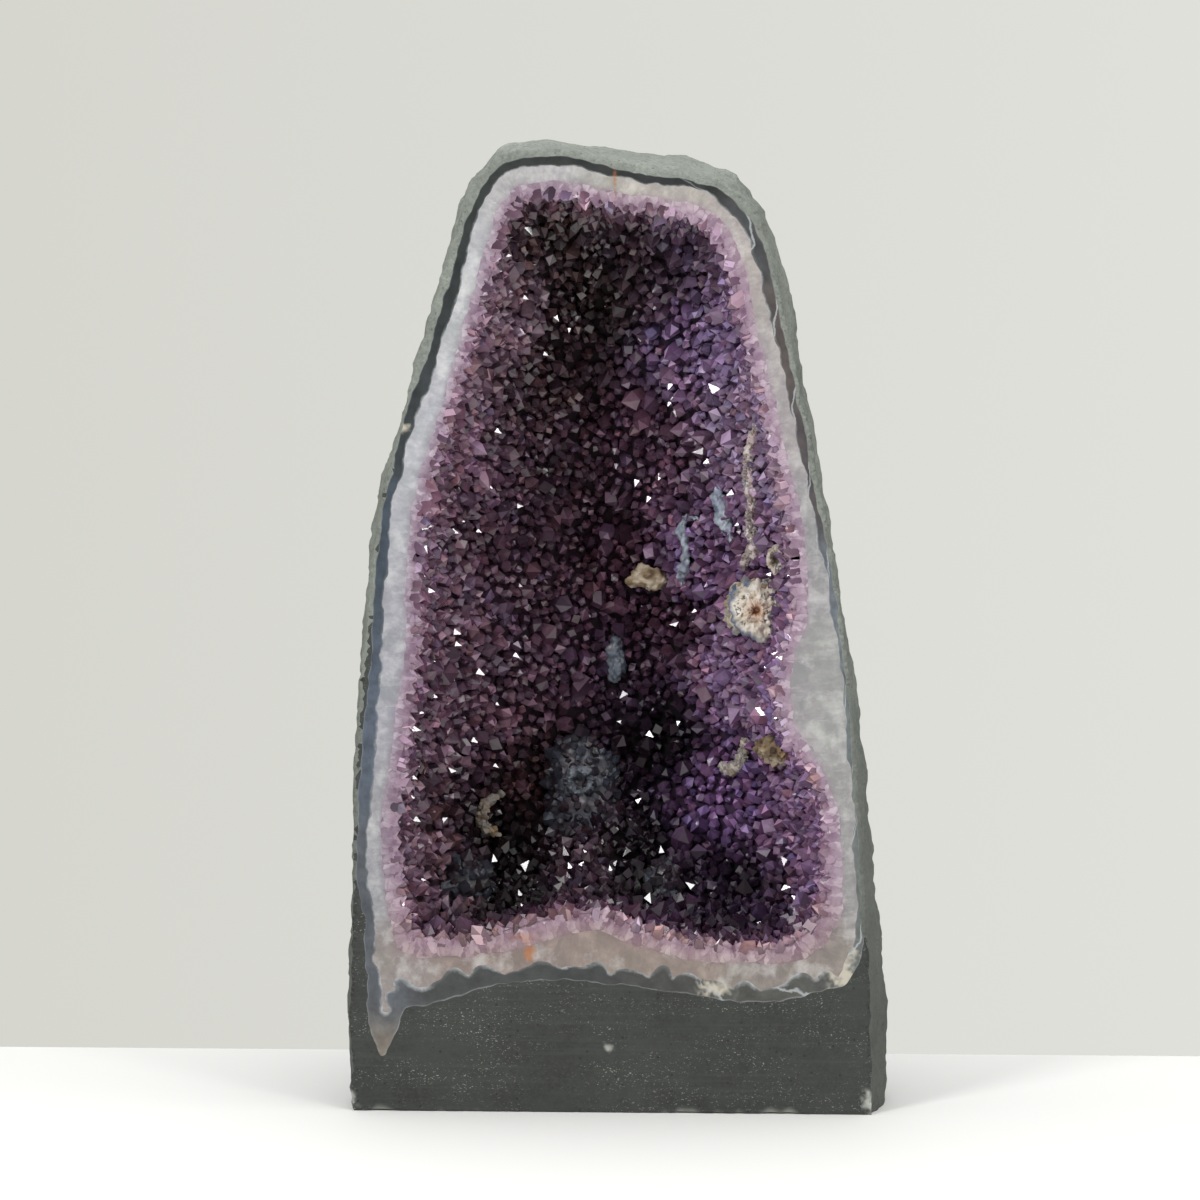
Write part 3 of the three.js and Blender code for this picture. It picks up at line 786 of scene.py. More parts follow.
def skin_mesh():
    """The outside of the CAD rock, finely divided, smoothed and roughened, and open in front and below."""
    s = bpy.context.scene.geode_sizes
    bm = joined("host_rock")
    flat = [f for f in bm.faces if on_front(f) or all(v.co.z < 1e-5 for v in f.verts)]
    bmesh.ops.delete(bm, geom=flat, context="FACES")
    start = max(bm.verts, key=lambda v: v.co.y)
    furthest_back = np.array(start.co)
    reached = reached_from(start)
    bmesh.ops.delete(bm, geom=[v for v in bm.verts if v not in reached], context="VERTS")
    divide(bm, SKIN_DIVISIONS)
    bmesh.ops.triangulate(bm, faces=bm.faces)
    bm.verts.index_update()
    points = np.array([v.co for v in bm.verts])
    pairs = np.array([[v.index for v in e.verts] for e in bm.edges])
    rim_pairs = np.array([[v.index for v in e.verts] for e in bm.edges if e.is_boundary])
    front = np.abs(points[:, 1] - FRONT) < 1e-5
    base = points[:, 2] < 1e-5
    points = relaxed(points, pairs, rim_pairs, front & base, SKIN_SMOOTHING)
    bm.verts.ensure_lookup_table()
    move_all(bm, points)
    bm.normal_update()
    normals = np.array([v.normal for v in bm.verts])
    normals[front, 1] = 0
    normals[base, 2] = 0
    less_in_front = np.clip(0.45 + (points[:, 1] - FRONT) / (60 * MM), 0, 1)
    lumps = rough(points, 38, 3, 5) * s.skin_lump * less_in_front
    less_at_back = np.clip(np.linalg.norm(points - furthest_back, axis=1) / (85 * MM), 0.05, 1) ** 2
    pits = rough(points, 160, 4, 8) * s.skin_pit * less_at_back
    points = points + normals * (lumps + pits - tucked(points))[:, None]
    points[front, 1] = FRONT
    points[base, 2] = 0
    move_all(bm, np.clip(points, np.array(FRAME_LOW), np.array(FRAME_HIGH)))
    return bm, front, base


TOWARDS, AWAY = 0.5, -0.51  # how far a turn of smoothing moves a point, as a share of the way


def relaxed(points, pairs, rim_pairs, fixed, rounds):
    """Points smoothed by turns of moving towards the middle of their neighbours and away from it, so
    that the whole doesn't shrink. A point of an open edge minds only its neighbours on that edge."""
    count = len(points)
    rim = np.zeros(count, bool)
    rim[rim_pairs.ravel()] = True
    for turn in range(rounds):
        share = AWAY if turn % 2 else TOWARDS
        moved = points.copy()
        for group_pairs, who in ((pairs, ~rim), (rim_pairs, rim & ~fixed)):
            total = np.zeros_like(points)
            number = np.zeros(count)
            for a, b in ((0, 1), (1, 0)):
                np.add.at(total, group_pairs[:, a], points[group_pairs[:, b]])
                np.add.at(number, group_pairs[:, a], 1)
            mean = total / np.maximum(number, 1)[:, None]
            moved[who] = points[who] * (1 - share) + mean[who] * share
        points = moved
    return points


def skin_edge(bm, is_on, order):
    """The open edge of the skin where `is_on` holds, as an array of (two coordinates), end to end."""
    edges = [e for e in bm.edges if e.is_boundary and all(is_on[v.index] for v in e.verts)]
    chain = max(chains(edges), key=len)
    return np.array([[v.co[k] for k in order] for v in chain])


def build_rock():
    s = bpy.context.scene.geode_sizes
    bm, front, base = skin_mesh()
    bm.verts.index_update()
    bm.edges.index_update()
    arch = skin_edge(bm, front, (0, 2))
    back = skin_edge(bm, base, (0, 1))
    foot_count = round(np.linalg.norm(arch[0] - arch[-1]) / s.band_grain)
    foot = np.linspace(arch[-1], arch[0], foot_count)[1:-1]
    outer = anticlockwise(np.vstack([arch, foot]))
    places, faces = flat_region(outer, [Outlines.get("agate")], s.band_grain * 1.2)
    front_points = standing(places)
    if np.linalg.norm(back[0] - foot[0]) > np.linalg.norm(back[-1] - foot[0]):
        back = back[::-1]
    starts_far = abs(foot[0, 0] - back[0][0]) > abs(foot[-1, 0] - back[0][0])
    edge = foot[:, 0] if starts_far else foot[::-1, 0]
    below = anticlockwise(np.vstack([back, np.column_stack([edge, np.full(len(edge), FRONT)])]))
    base_places, base_faces = flat_region(below, [], s.band_grain * 4)
    base_points = np.column_stack([base_places, np.zeros(len(base_places))])
    mesh = joined_rock(bm, (front_points, facing_front(front_points, faces)), (base_points, base_faces))
    give_value(mesh, "Worn", wear(mesh, s.chip))
    wear_edge(mesh, outer, s.worn_edge)
    for p in mesh.polygons:
        p.use_smooth = p.material_index == 0
    return piece("host_rock_stone", mesh, [skin_look(), sawn_look()], ["host_rock"], "host_rock")


def joined_rock(bm, front, base):
    """The skin, the sawn front and the base in one mesh, with their shared edges joined."""
    for f in bm.faces:
        f.material_index = 0
    for points, faces in (front, base):
        made = [bm.verts.new(p) for p in points]
        for f in faces:
            bm.faces.new([made[i] for i in f]).material_index = 1
    bmesh.ops.remove_doubles(bm, verts=bm.verts, dist=2e-6)
    bmesh.ops.recalc_face_normals(bm, faces=bm.faces)
    mesh = bpy.data.meshes.new("host_rock_stone")
    bm.to_mesh(mesh)
    bm.free()
    return mesh


def wear(mesh, chip):
    """Chips the base's front edge, and returns how worn each point is."""
    points = np.array([v.co for v in mesh.vertices])
    x, y, z = points.T
    along = rough(np.column_stack([x, np.zeros_like(x)]), 55, 3, 2)
    depth = chip * np.clip(along * 2.2 + 0.05, 0.08, 1)
    near_front = np.clip(1 - (y - FRONT) / (depth * 2), 0, 1)
    near_base = np.clip(1 - z / (depth * 2), 0, 1)
    both = near_front * near_base
    for v, k, d in zip(mesh.vertices, both, depth):
        if k > 0:
            v.co.y += k * d * 0.5
            v.co.z += k * d * 0.5
    on_front_face = np.abs(y - FRONT) < 3 * MM
    spots = marked(np.column_stack([x, z]), CHIPS) * on_front_face
    return np.clip(np.maximum(both * np.clip(along * 2.2 - 0.3, 0, 0.6), spots), 0, 1)


def wear_edge(mesh, outline, width):
    """Rounds the edge between the sawn front and the skin above the base, and gives it the skin's look."""
    points = np.array([v.co for v in mesh.vertices])
    front = np.where(points[:, 1] < FRONT + 0.1 * MM)[0]
    places = points[front][:, [0, 2]]
    away, _ = nearest(places, outline[outline[:, 1] > 5 * MM])
    above = np.clip((places[:, 1] - 70 * MM) / (30 * MM), 0, 1)
    reach = width * above * (1 + 0.5 * rough(places, 70, 3, 13))
    share = np.clip(1 - away / (reach + 1e-6), 0, 1)
    near_top = np.clip((places[:, 1] - 290 * MM) / (60 * MM), 0, 1)
    on_right = np.clip((places[:, 0] - 40 * MM) / (20 * MM), 0, 1)
    is_worn = np.zeros(len(points), bool)
    skin_to = reach * (1 + 3.5 * np.maximum(near_top, on_right))
    is_worn[front] = away < skin_to
    for n, k in zip(front, share):
        mesh.vertices[n].co.y += 1.3 * MM * k**1.6
    for p in mesh.polygons:
        if p.material_index == 1 and all(is_worn[v] for v in p.vertices):
            p.material_index = 0


# ---- Agate and quartz ---------------------------------------------------------------------------

# Tints round each layer: how far across the front and how far up, from 0 to 1, and the colour there.
AGATE_TINTS = (
    (0.03, 0.40, (0.13, 0.165, 0.22)),
    (0.03, 0.22, (0.12, 0.135, 0.16)),
    (0.06, 0.58, (0.08, 0.105, 0.14)),
    (0.12, 0.72, (0.055, 0.065, 0.07)),
    (0.18, 0.84, (0.045, 0.052, 0.052)),
    (0.25, 0.95, (0.05, 0.058, 0.056)),
    (0.45, 0.96, (0.05, 0.056, 0.052)),
    (0.62, 0.95, (0.045, 0.05, 0.048)),
    (0.74, 0.89, (0.11, 0.115, 0.12)),
    (0.80, 0.80, (0.15, 0.125, 0.12)),
    (0.86, 0.66, (0.13, 0.11, 0.115)),
    (0.91, 0.52, (0.22, 0.25, 0.28)),
    (0.94, 0.35, (0.24, 0.27, 0.27)),
    (0.95, 0.18, (0.19, 0.21, 0.205)),
    (0.80, 0.13, (0.12, 0.12, 0.105)),
    (0.60, 0.125, (0.075, 0.078, 0.072)),
    (0.40, 0.135, (0.06, 0.065, 0.065)),
    (0.20, 0.13, (0.062, 0.066, 0.066)),
    (0.07, 0.11, (0.13, 0.15, 0.18)),
    (0.06, 0.06, (0.33, 0.27, 0.20)),
)
QUARTZ_TINTS = (
    (0.05, 0.45, (0.50, 0.50, 0.54)),
    (0.06, 0.25, (0.46, 0.46, 0.48)),
    (0.12, 0.68, (0.62, 0.63, 0.66)),
    (0.20, 0.88, (0.66, 0.67, 0.68)),
    (0.35, 0.95, (0.60, 0.59, 0.58)),
    (0.55, 0.94, (0.60, 0.56, 0.50)),
    (0.70, 0.88, (0.58, 0.53, 0.49)),
    (0.78, 0.72, (0.54, 0.50, 0.49)),
    (0.86, 0.58, (0.46, 0.45, 0.45)),
    (0.90, 0.44, (0.50, 0.50, 0.48)),
    (0.93, 0.25, (0.44, 0.43, 0.42)),
    (0.85, 0.145, (0.38, 0.33, 0.29)),
    (0.55, 0.145, (0.42, 0.34, 0.29)),
    (0.25, 0.145, (0.38, 0.30, 0.26)),
    (0.10, 0.135, (0.42, 0.37, 0.34)),
)
# Ovals, as shares of the front: how far across and up, half the width, half the height.
STAINS = (
    (0.500, 0.960, 0.002, 0.030),
    (0.345, 0.165, 0.007, 0.010),
    (0.335, 0.180, 0.016, 0.004),
)
PATCHES = (
    (0.91, 0.150, 0.022, 0.016),
    (0.68, 0.128, 0.018, 0.006),
    (0.115, 0.700, 0.010, 0.003),
)
CHIPS = (
    (0.490, 0.067, 0.005, 0.003),
    (0.006, 0.085, 0.004, 0.003),
    (0.006, 0.063, 0.004, 0.003),
    (0.012, 0.012, 0.012, 0.006),
    (0.965, 0.014, 0.012, 0.008),
)


def marked(places, marks):
    """How much each place is in one of some ovals, placed and sized as shares of the front."""
    where = shares_of_front(places)
    wander = rough(places, 140, 3, 21) * 0.6 + rough(places, 520, 3, 22) * 0.9
    most = np.zeros(len(places))
    for across, up, wide, tall in marks:
        away = np.hypot((where[:, 0] - across) / wide, (where[:, 1] - up) / tall)
        most = np.maximum(most, np.clip(1.6 - away + wander, 0, 1))
    return most


def agate_cracks(tree, cloud):
    """A mask of slanted pale cracks, which part the agate on the right into long dark pieces."""
    along = times(tree, value_of(tree, "Along"), 26.0)
    slant = times(tree, value_of(tree, "Across"), 0.35)
    where = maths(tree, "ADD", maths(tree, "ADD", along, slant), times(tree, cloud, 0.12))
    inputs = {"W": where, "Scale": 1.0}
    settings = {"voronoi_dimensions": "1D", "feature": "DISTANCE_TO_EDGE"}
    cells = add(tree, "ShaderNodeTexVoronoi", inputs, **settings)
    line = between(tree, cells.outputs["Distance"], 0.015, 0.05, 0.75, 0.0)
    on_right = between(tree, one_axis(tree, object_place(tree), "X"), 0.02, 0.05)
    return times(tree, line, on_right)


def agate_look():
    c = bpy.context.scene.geode_colours

    def base(tree):
        tint = colour_of(tree, "Tint")
        across = value_of(tree, "Across")
        cloud = grain(tree, 130.0)
        wavy = maths(tree, "ADD", across, times(tree, cloud, 0.25))
        rings = maths(tree, "SINE", times(tree, wavy, 30.0))
        ringing = between(tree, rings, -1.0, 1.0, 0.0, 0.35)
        ringed = mix(tree, ringing, tint, (0.60, 0.61, 0.62, 1), "SOFT_LIGHT")
        dim = multiplied(tree, tint, (0.35, 0.35, 0.37, 1))
        darker = mix(tree, times(tree, cloud, 0.85), ringed, dim)
        first = between(tree, across, 0.02, 0.10, 0.35, 0.0)
        last = between(tree, wavy, 0.92, 1.16, 0.0, 0.9)
        comes_and_goes = between(tree, grain(tree, 85.0), 0.3, 0.7, 0.25, 1.0)
        lines = times(tree, maths(tree, "MAXIMUM", first, last), comes_and_goes)
        lined = mix(tree, lines, darker, rgba(c.outline))
        patched = mix(tree, value_of(tree, "Patch"), lined, (0.50, 0.46, 0.38, 1))
        stained = mix(tree, times(tree, value_of(tree, "Stain"), 0.5), patched, rgba(c.stain))
        return mix(tree, agate_cracks(tree, cloud), stained, rgba(c.outline))

    return look("Agate", base, 0.30, grain_height(600.0), bump=0.1, Coat_Weight=0.15)


def quartz_look():
    c = bpy.context.scene.geode_colours

    def base(tree):
        tint = colour_of(tree, "Tint")
        across = value_of(tree, "Across")
        cloud = grain(tree, 150.0)
        grey = multiplied(tree, tint, (0.50, 0.49, 0.53, 1))
        streaked = mix(tree, times(tree, fibres(tree, 480.0, 1.3), 0.55), tint, grey)
        clouded = mix(tree, times(tree, cloud, 0.7), streaked, grey)
        clear = between(tree, grain(tree, 62.0), 0.5, 0.8, 0.0, 0.55)
        cleared = mix(tree, clear, clouded, multiplied(tree, tint, (0.52, 0.55, 0.54, 1)))
        columns = use(tree, column_group(), Per_metre=420.0, Length=1.5)
        reach = maths(tree, "ADD", across, times(tree, columns["Value"], 0.45))
        flush = between(tree, reach, 0.85, 1.35, 0.0, 0.75)
        flushed = mix(tree, flush, cleared, mix(tree, columns["Value"], colour_of(tree, "Flush"), grey))
        milk = between(tree, grain(tree, 70.0), 0.55, 1.0, 0.0, 0.4)
        milky = mix(tree, milk, flushed, (0.74, 0.73, 0.72, 1))
        return mix(tree, times(tree, value_of(tree, "Stain"), 0.8), milky, rgba(c.stain))

    def roughness(tree):
        return between(tree, fibres(tree, 480.0, 1.3), 0.0, 1.0, 0.28, 0.5)

    def height(tree):
        return fibres(tree, 650.0, 1.2, "Height")

    return look("Quartz", base, roughness, height, bump=0.4, distance=0.5 * MM)


def lilac_at(places):
    """The colour of the cut crystals at places on the front: lilac, and blush along the foot. The lilac has
    painted light in it: darker on the left and paler towards the right.
    """
    c = bpy.context.scene.geode_colours
    foot = np.clip((105 * MM - places[:, 1]) / (25 * MM), 0, 1)[:, None]
    right = np.clip(places[:, 0] / (70 * MM), -1, 1)[:, None]
    # Painted light: the lilac is darker towards the left and paler towards the right, as the light falls on
    # it.
    side = np.array(c.lilac) * (1.02 + 0.16 * right) + 0.05 * np.maximum(right, 0)
    return side * (1 - foot) + np.array(c.blush) * foot


def build_agate():
    mesh, places, _ = band("agate_layer", Outlines.get("agate"), Outlines.get("quartz"), lambda p, a: 0 * a)
    give_colour(mesh, "Tint", blend_tints(places, AGATE_TINTS) * 0.72)
    give_value(mesh, "Patch", marked(places, PATCHES))
    give_value(mesh, "Stain", marked(places, STAINS))
    depth = bpy.context.scene.geode_sizes.band_thickness
    return piece("agate_layer", with_edges_back(mesh, depth), [agate_look()], ["agate_rind"], "agate")


def build_quartz():
    def relief(places, across):
        return np.clip(across - 0.75, 0, 1) * 1.2 * MM * np.clip(rough(places, 400, 2, 6) + 0.4, 0, 1)

    mesh, places, _ = band("quartz_layer", Outlines.get("quartz"), Outlines.get("bed"), relief)
    give_colour(mesh, "Tint", blend_tints(places, QUARTZ_TINTS) * 0.86)
    give_colour(mesh, "Flush", lilac_at(places))
    give_value(mesh, "Stain", marked(places, STAINS))
    depth = bpy.context.scene.geode_sizes.band_thickness
    return piece("quartz_layer", with_edges_back(mesh, depth), [quartz_look()], ["quartz_band"], "quartz")


# ---- The amethyst bed ---------------------------------------------------------------------------

# Where the bed stands forward of its dome or drops back, in millimetres: x, z, spread, rise.
MOUNDS = (
    (46, 262, 34, 17),
    (30, 330, 24, 9),
    (-50, 300, 22, 7),
    (-4, 318, 17, -9),
    (-2, 252, 17, -8),
    (-46, 196, 26, 8),
    (44, 176, 26, 9),
    (2, 150, 30, 6),
    (-30, 106, 17, -9),
    (4, 128, 14, -8),
    (62, 220, 13, 16),
)
WALL_ROWS = 150
WALL_STEP = 2.2 * MM
CENTRE = (0.004, 0.190)  # of the front, in line with the cavity's deepest point


def wall_points(loop, v):
    """Places on the cavity's wall, for outline points and how far back they are, from 0 to 1."""
    s = bpy.context.scene.geode_sizes
    angle = v * math.pi / 2
    across = np.cos(angle) ** (2 / s.cavity_fullness)
    back = np.sin(angle) ** (2 / s.cavity_fullness)
    x = CENTRE[0] + (loop[:, 0] - CENTRE[0]) * across
    z = CENTRE[1] + (loop[:, 1] - CENTRE[1]) * across
    y = s.cavity_depth * back
    y = y - swells(x, z, MOUNDS) * np.clip(y / (60 * MM), 0, 1)
    return np.stack([x, FRONT + y, z], axis=1)


def wall_grid():
    """The cavity's wall as rows of points, from the mouth to its deepest."""
    mouth = evenly(Outlines.get("mouth"), WALL_STEP)
    shares = np.linspace(0, 1, WALL_ROWS) ** 1.25 * 0.985  # closer together near the mouth
    return np.array([wall_points(mouth, np.full(len(mouth), v)) for v in shares])


# Tints over the cavity, as in the tables of the layers: the amethyst's own brown and violet, with painted
# shade and light in them. They are near black where the wall drops back into deep hollows, and paler on the
# walls that the lamps light, most of all on the right.
CAVITY_TINTS_AND_SHADE = (
    (0.35, 0.92, (0.070, 0.040, 0.040)),
    (0.46, 0.84, (0.036, 0.022, 0.017)),
    (0.39, 0.76, (0.055, 0.027, 0.033)),
    (0.53, 0.87, (0.080, 0.044, 0.060)),
    (0.65, 0.89, (0.15, 0.088, 0.165)),
    (0.64, 0.78, (0.22, 0.130, 0.29)),
    (0.25, 0.81, (0.30, 0.175, 0.240)),
    (0.18, 0.66, (0.21, 0.105, 0.170)),
    (0.39, 0.65, (0.085, 0.040, 0.062)),
    (0.57, 0.68, (0.13, 0.058, 0.105)),
    (0.74, 0.70, (0.36, 0.23, 0.40)),
    (0.65, 0.57, (0.24, 0.120, 0.27)),
    (0.31, 0.57, (0.115, 0.054, 0.088)),
    (0.15, 0.53, (0.24, 0.125, 0.200)),
    (0.47, 0.57, (0.090, 0.034, 0.058)),
    (0.57, 0.49, (0.060, 0.023, 0.045)),
    (0.73, 0.44, (0.35, 0.185, 0.38)),
    (0.19, 0.38, (0.150, 0.072, 0.115)),
    (0.57, 0.36, (0.006, 0.003, 0.005)),
    (0.32, 0.31, (0.050, 0.020, 0.024)),
    (0.28, 0.26, (0.003, 0.002, 0.002)),
    (0.53, 0.25, (0.003, 0.002, 0.002)),
    (0.30, 0.215, (0.004, 0.003, 0.003)),
    (0.70, 0.31, (0.32, 0.155, 0.42)),
    (0.83, 0.30, (0.38, 0.195, 0.39)),
    (0.14, 0.23, (0.24, 0.130, 0.180)),
    (0.68, 0.22, (0.016, 0.007, 0.020)),
    (0.42, 0.24, (0.050, 0.026, 0.042)),
)


def amethyst_tints_and_shade(points):
    """The amethyst's colour at points of the cavity: lilac at the mouth, and its own at each place, with the
    painted shade and light of the cavity's tints.
    """
    c = bpy.context.scene.geode_colours
    behind = points[:, 1] - FRONT
    lilac = np.clip(1 - behind / (8 * MM), 0, 1)[:, None] ** 1.3
    shallow = np.clip(1 - behind / (32 * MM), 0, 1)[:, None]
    inner = blend_tints(points[:, [0, 2]], CAVITY_TINTS_AND_SHADE)
    inner = inner * 0.80 + inner.mean(1)[:, None] * 0.20
    outer = inner * 0.6 + np.array(c.violet) * 0.4
    inner = inner * (1 - shallow) + outer * shallow
    return lilac_at(points[:, [0, 2]]) * lilac + inner * (1 - lilac)


def crystal_look():
    def base(tree):
        tint = colour_of(tree, "Tint")
        tip = value_of(tree, "Tip")
        face = value_of(tree, "Facet light")
        cloud = grain(tree, 420.0)
        # Painted shade: each point is darker towards its foot, where the points crowd and shade one another.
        deep = multiplied(tree, tint, (0.30, 0.22, 0.28, 1))
        shaded_roots = mix(tree, between(tree, tip, 0.0, 0.6, 0.9, 0.0), tint, deep)
        clouded = mix(tree, times(tree, cloud, 0.5), shaded_roots, deep)
        # Painted light and shade on the facets: facets that draw a low value are painted darker, and those
        # that draw a high one paler with a little grey added, as light and reflection in clear crystal.
        dim = mix(tree, between(tree, face, 0.0, 0.7, 0.85, 0.0), clouded, deep)
        lit_tint = mix(tree, 0.6, tint, tint, "ADD")
        clear = mix(tree, 1.0, lit_tint, (0.036, 0.033, 0.036, 1), "ADD")
        return mix(tree, between(tree, face, 0.78, 1.0, 0.0, 0.95), dim, clear)

    def roughness(tree):
        return between(tree, value_of(tree, "Facet light"), 0.0, 1.0, 0.16, 0.07)

    coat = {"Coat_Weight": 0.3, "Coat_Roughness": 0.04}
    return look("Amethyst", base, roughness, grain_height(1400.0), bump=0.05, distance=0.15 * MM, **coat)


def bed_look():
    def base(tree):
        tint = colour_of(tree, "Tint")
        cloud = grain(tree, 350.0)
        return mix(tree, times(tree, cloud, 0.6), tint, multiplied(tree, tint, (0.4, 0.35, 0.4, 1)))

    dull = {"Specular_IOR_Level": 0.15}
    return look("Amethyst bed", base, 0.8, grain_height(500.0), bump=0.6, distance=1.0 * MM, **dull)


def rim_look():
    def base(tree):
        tint = colour_of(tree, "Tint")
        dark = multiplied(tree, tint, (0.50, 0.38, 0.50, 1))
        columns = use(tree, column_group(), Per_metre=380.0, Length=1.4)
        light = mix(tree, 1.0, tint, (0.16, 0.15, 0.16, 1), "ADD")
        sorted_tints = mix(tree, columns["Value"], dark, light)
        streaked = mix(tree, times(tree, fibres(tree, 330.0, 1.1), 0.55), sorted_tints, dark)
        lined = mix(tree, times(tree, columns["Line"], 0.5), streaked, dark)
        return mix(tree, times(tree, grain(tree, 300.0), 0.22), lined, (0.62, 0.54, 0.60, 1))

    def height(tree):
        return fibres(tree, 330.0, 1.1, "Height")

    return look("Cut crystals", base, 0.3, height, bump=0.5, distance=0.5 * MM)


def toothed(loop, step, height):
    """An outline with the teeth of cut crystals, which reach into it."""
    fine = evenly(loop, step)
    random = np.random.default_rng(8)
    reach = np.where(np.arange(len(fine)) % 2, 1.0, 0.0) * random.uniform(0.3, 1.0, len(fine))
    return fine - outwards(fine) * (reach * height)[:, None]


RIM_THICKNESS = 2 * MM


def build_rim():
    """The cut crystals between the quartz and the mouth."""
    s = bpy.context.scene.geode_sizes
    c = bpy.context.scene.geode_colours
    mouth = toothed(Outlines.get("mouth"), s.rim_spacing * 0.75, s.tooth)

    def relief(places, across):
        uneven = np.clip(rough(places, 260, 2, 16) + 0.5, 0, 1)
        return np.clip(across - 0.25, 0, 1) ** 1.5 * 2.6 * MM * uneven

    mesh, places, across = band("rim_of_cut_crystals", Outlines.get("bed"), mouth, relief)
    pale = blend_tints(places, QUARTZ_TINTS)
    k = np.clip(0.45 + across * 0.8, 0, 1)[:, None]
    tint = pale * 0.8 * (1 - k) + lilac_at(places) * k
    further = np.clip((k - 0.7) / 0.3, 0, 1)
    tint = tint * (1 - 0.5 * further) + np.array(c.violet) * 0.5 * further
    stain = marked(places, STAINS)[:, None] * 0.7
    give_colour(mesh, "Tint", tint * (1 - stain) + np.array(c.stain) * stain)
    with_edges_back(mesh, RIM_THICKNESS)
    return piece("rim_of_cut_crystals", mesh, [rim_look()], ["amethyst_bed"], "amethyst")


def build_bed():
    """The bed behind the crystal points, closer near the mouth, with its tint darkened as painted shade
    between the points, least near the mouth.
    """
    rows = wall_grid()
    count = rows.shape[1]
    points = rows.reshape(-1, 3)
    normals = wall_normals(rows).reshape(-1, 3)
    at_mouth = np.clip(1 - (points[:, 1] - FRONT) / (9 * MM), 0, 1)
    # Painted shade: the bed's tint is cut to about a fifth deep inside, where the points shade it, and to
    # about two thirds at the mouth.
    tints = amethyst_tints_and_shade(points) * (0.22 + 0.45 * at_mouth)[:, None]
    points = points - normals * (2.2 - 1.4 * at_mouth + 0.8 * rough(points, 250, 2, 3))[:, None] * MM
    points[:, 1] = np.maximum(points[:, 1], FRONT + 0.3 * MM)
    closing = [(len(rows) - 1) * count + i for i in range(count)]
    mesh = mesh_of("amethyst_bed_wall", points, [*rings_of_faces(len(rows), count), closing])
    give_colour(mesh, "Tint", tints)
    all_smooth(mesh)
    return piece("amethyst_bed_wall", mesh, [bed_look()], [], "amethyst")


def wall_normals(rows):
    """The direction out of the wall, into the cavity, at each point of the grid."""
    around = np.roll(rows, -1, axis=1) - np.roll(rows, 1, axis=1)
    down = np.gradient(rows, axis=0)
    normal = np.cross(around, down)
    normal /= np.linalg.norm(normal, axis=2)[:, :, None] + 1e-12
    inwards = np.array([CENTRE[0], FRONT - 0.05, CENTRE[1]]) - rows
    sign = np.sign(np.sum(normal * inwards, axis=2))
    return normal * sign[:, :, None]


def scattered(spacing_at, tries, seed):
    """Places for crystal points over the wall, no two closer than their spacing allows, as
    (points, normals, spacings)."""
    rows = wall_grid()
    normals = wall_normals(rows)
    a = rows[:-1]
    b = np.roll(rows, -1, axis=1)[:-1]
    d = rows[1:]
    areas = np.linalg.norm(np.cross(b - a, d - a), axis=2).ravel()
    random = np.random.default_rng(seed)
    picks = random.choice(len(areas), tries, p=areas / areas.sum())
    r, i = np.divmod(picks, rows.shape[1])
    u, w = random.random((2, tries, 1))
    j = (i + 1) % rows.shape[1]

    def at(grid):
        near = grid[r, i] * (1 - u) + grid[r, j] * u
        far = grid[r + 1, i] * (1 - u) + grid[r + 1, j] * u
        return near * (1 - w) + far * w

    points = at(rows)
    out = at(normals)
    out /= np.linalg.norm(out, axis=1)[:, None]
    spacing = spacing_at(points, random)
    return thinned(points, out, spacing)


def thinned(points, normals, spacing):
    """The points that are left when none may be closer to an earlier one than their spacing allows."""
    cell = spacing.max()
    taken = {}
    kept = []
    keys = np.floor(points / cell).astype(int)
    for n, (p, key, gap) in enumerate(zip(points, keys, spacing)):
        near = [
            m
            for dx in (-1, 0, 1)
            for dy in (-1, 0, 1)
            for dz in (-1, 0, 1)
            for m in taken.get((key[0] + dx, key[1] + dy, key[2] + dz), ())
        ]
        if near:
            away = np.linalg.norm(points[near] - p, axis=1)
            if np.any(away < 0.5 * (gap + spacing[near])):
                continue
        taken.setdefault(tuple(key), []).append(n)
        kept.append(n)
    return points[kept], normals[kept], spacing[kept]


def growth_clearance(points):
    """How far each point is from the nearest growth, up to 10 mm."""
    away = np.full(len(points), 10 * MM)
    for node in GROWTH_NODES:
        co = np.array([v.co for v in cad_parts[node].data.vertices])
        co = np.unique(np.round(co, 5), axis=0)
        low, high = co.min(0) - 10 * MM, co.max(0) + 10 * MM
        for n in np.where(np.all((points > low) & (points < high), axis=1))[0]:
            away[n] = min(away[n], np.linalg.norm(co - points[n], axis=1).min())
    return away


def unit(vectors):
    return vectors / (np.linalg.norm(vectors, axis=-1, keepdims=True) + 1e-12)


def turned_to_lamps(points, normals, chosen, slope, random):
    """Axes and sides for the chosen crystals, so that a face of each reflects a lamp to the front."""
    lamps = np.array([KEY_LAMP, SIDE_LAMP])[random.integers(0, 2, len(chosen))]
    to_lamp = unit(lamps - points[chosen])
    to_front = unit(np.array(viewpoint()) - points[chosen])
    face = unit(to_lamp + to_front)
    wall = normals[chosen]
    sideways = unit(wall - face * np.sum(wall * face, axis=1)[:, None])
    axis = face * math.cos(slope) + sideways * math.sin(slope)
    out = face * math.sin(slope) - sideways * math.cos(slope)
    turn = math.pi / 6
    return axis, out * math.cos(turn) - np.cross(axis, out) * math.sin(turn)


POINT_VERTS = 13  # six at a crystal's foot, six at its neck, and its tip
PALEST_POINT = 0.40


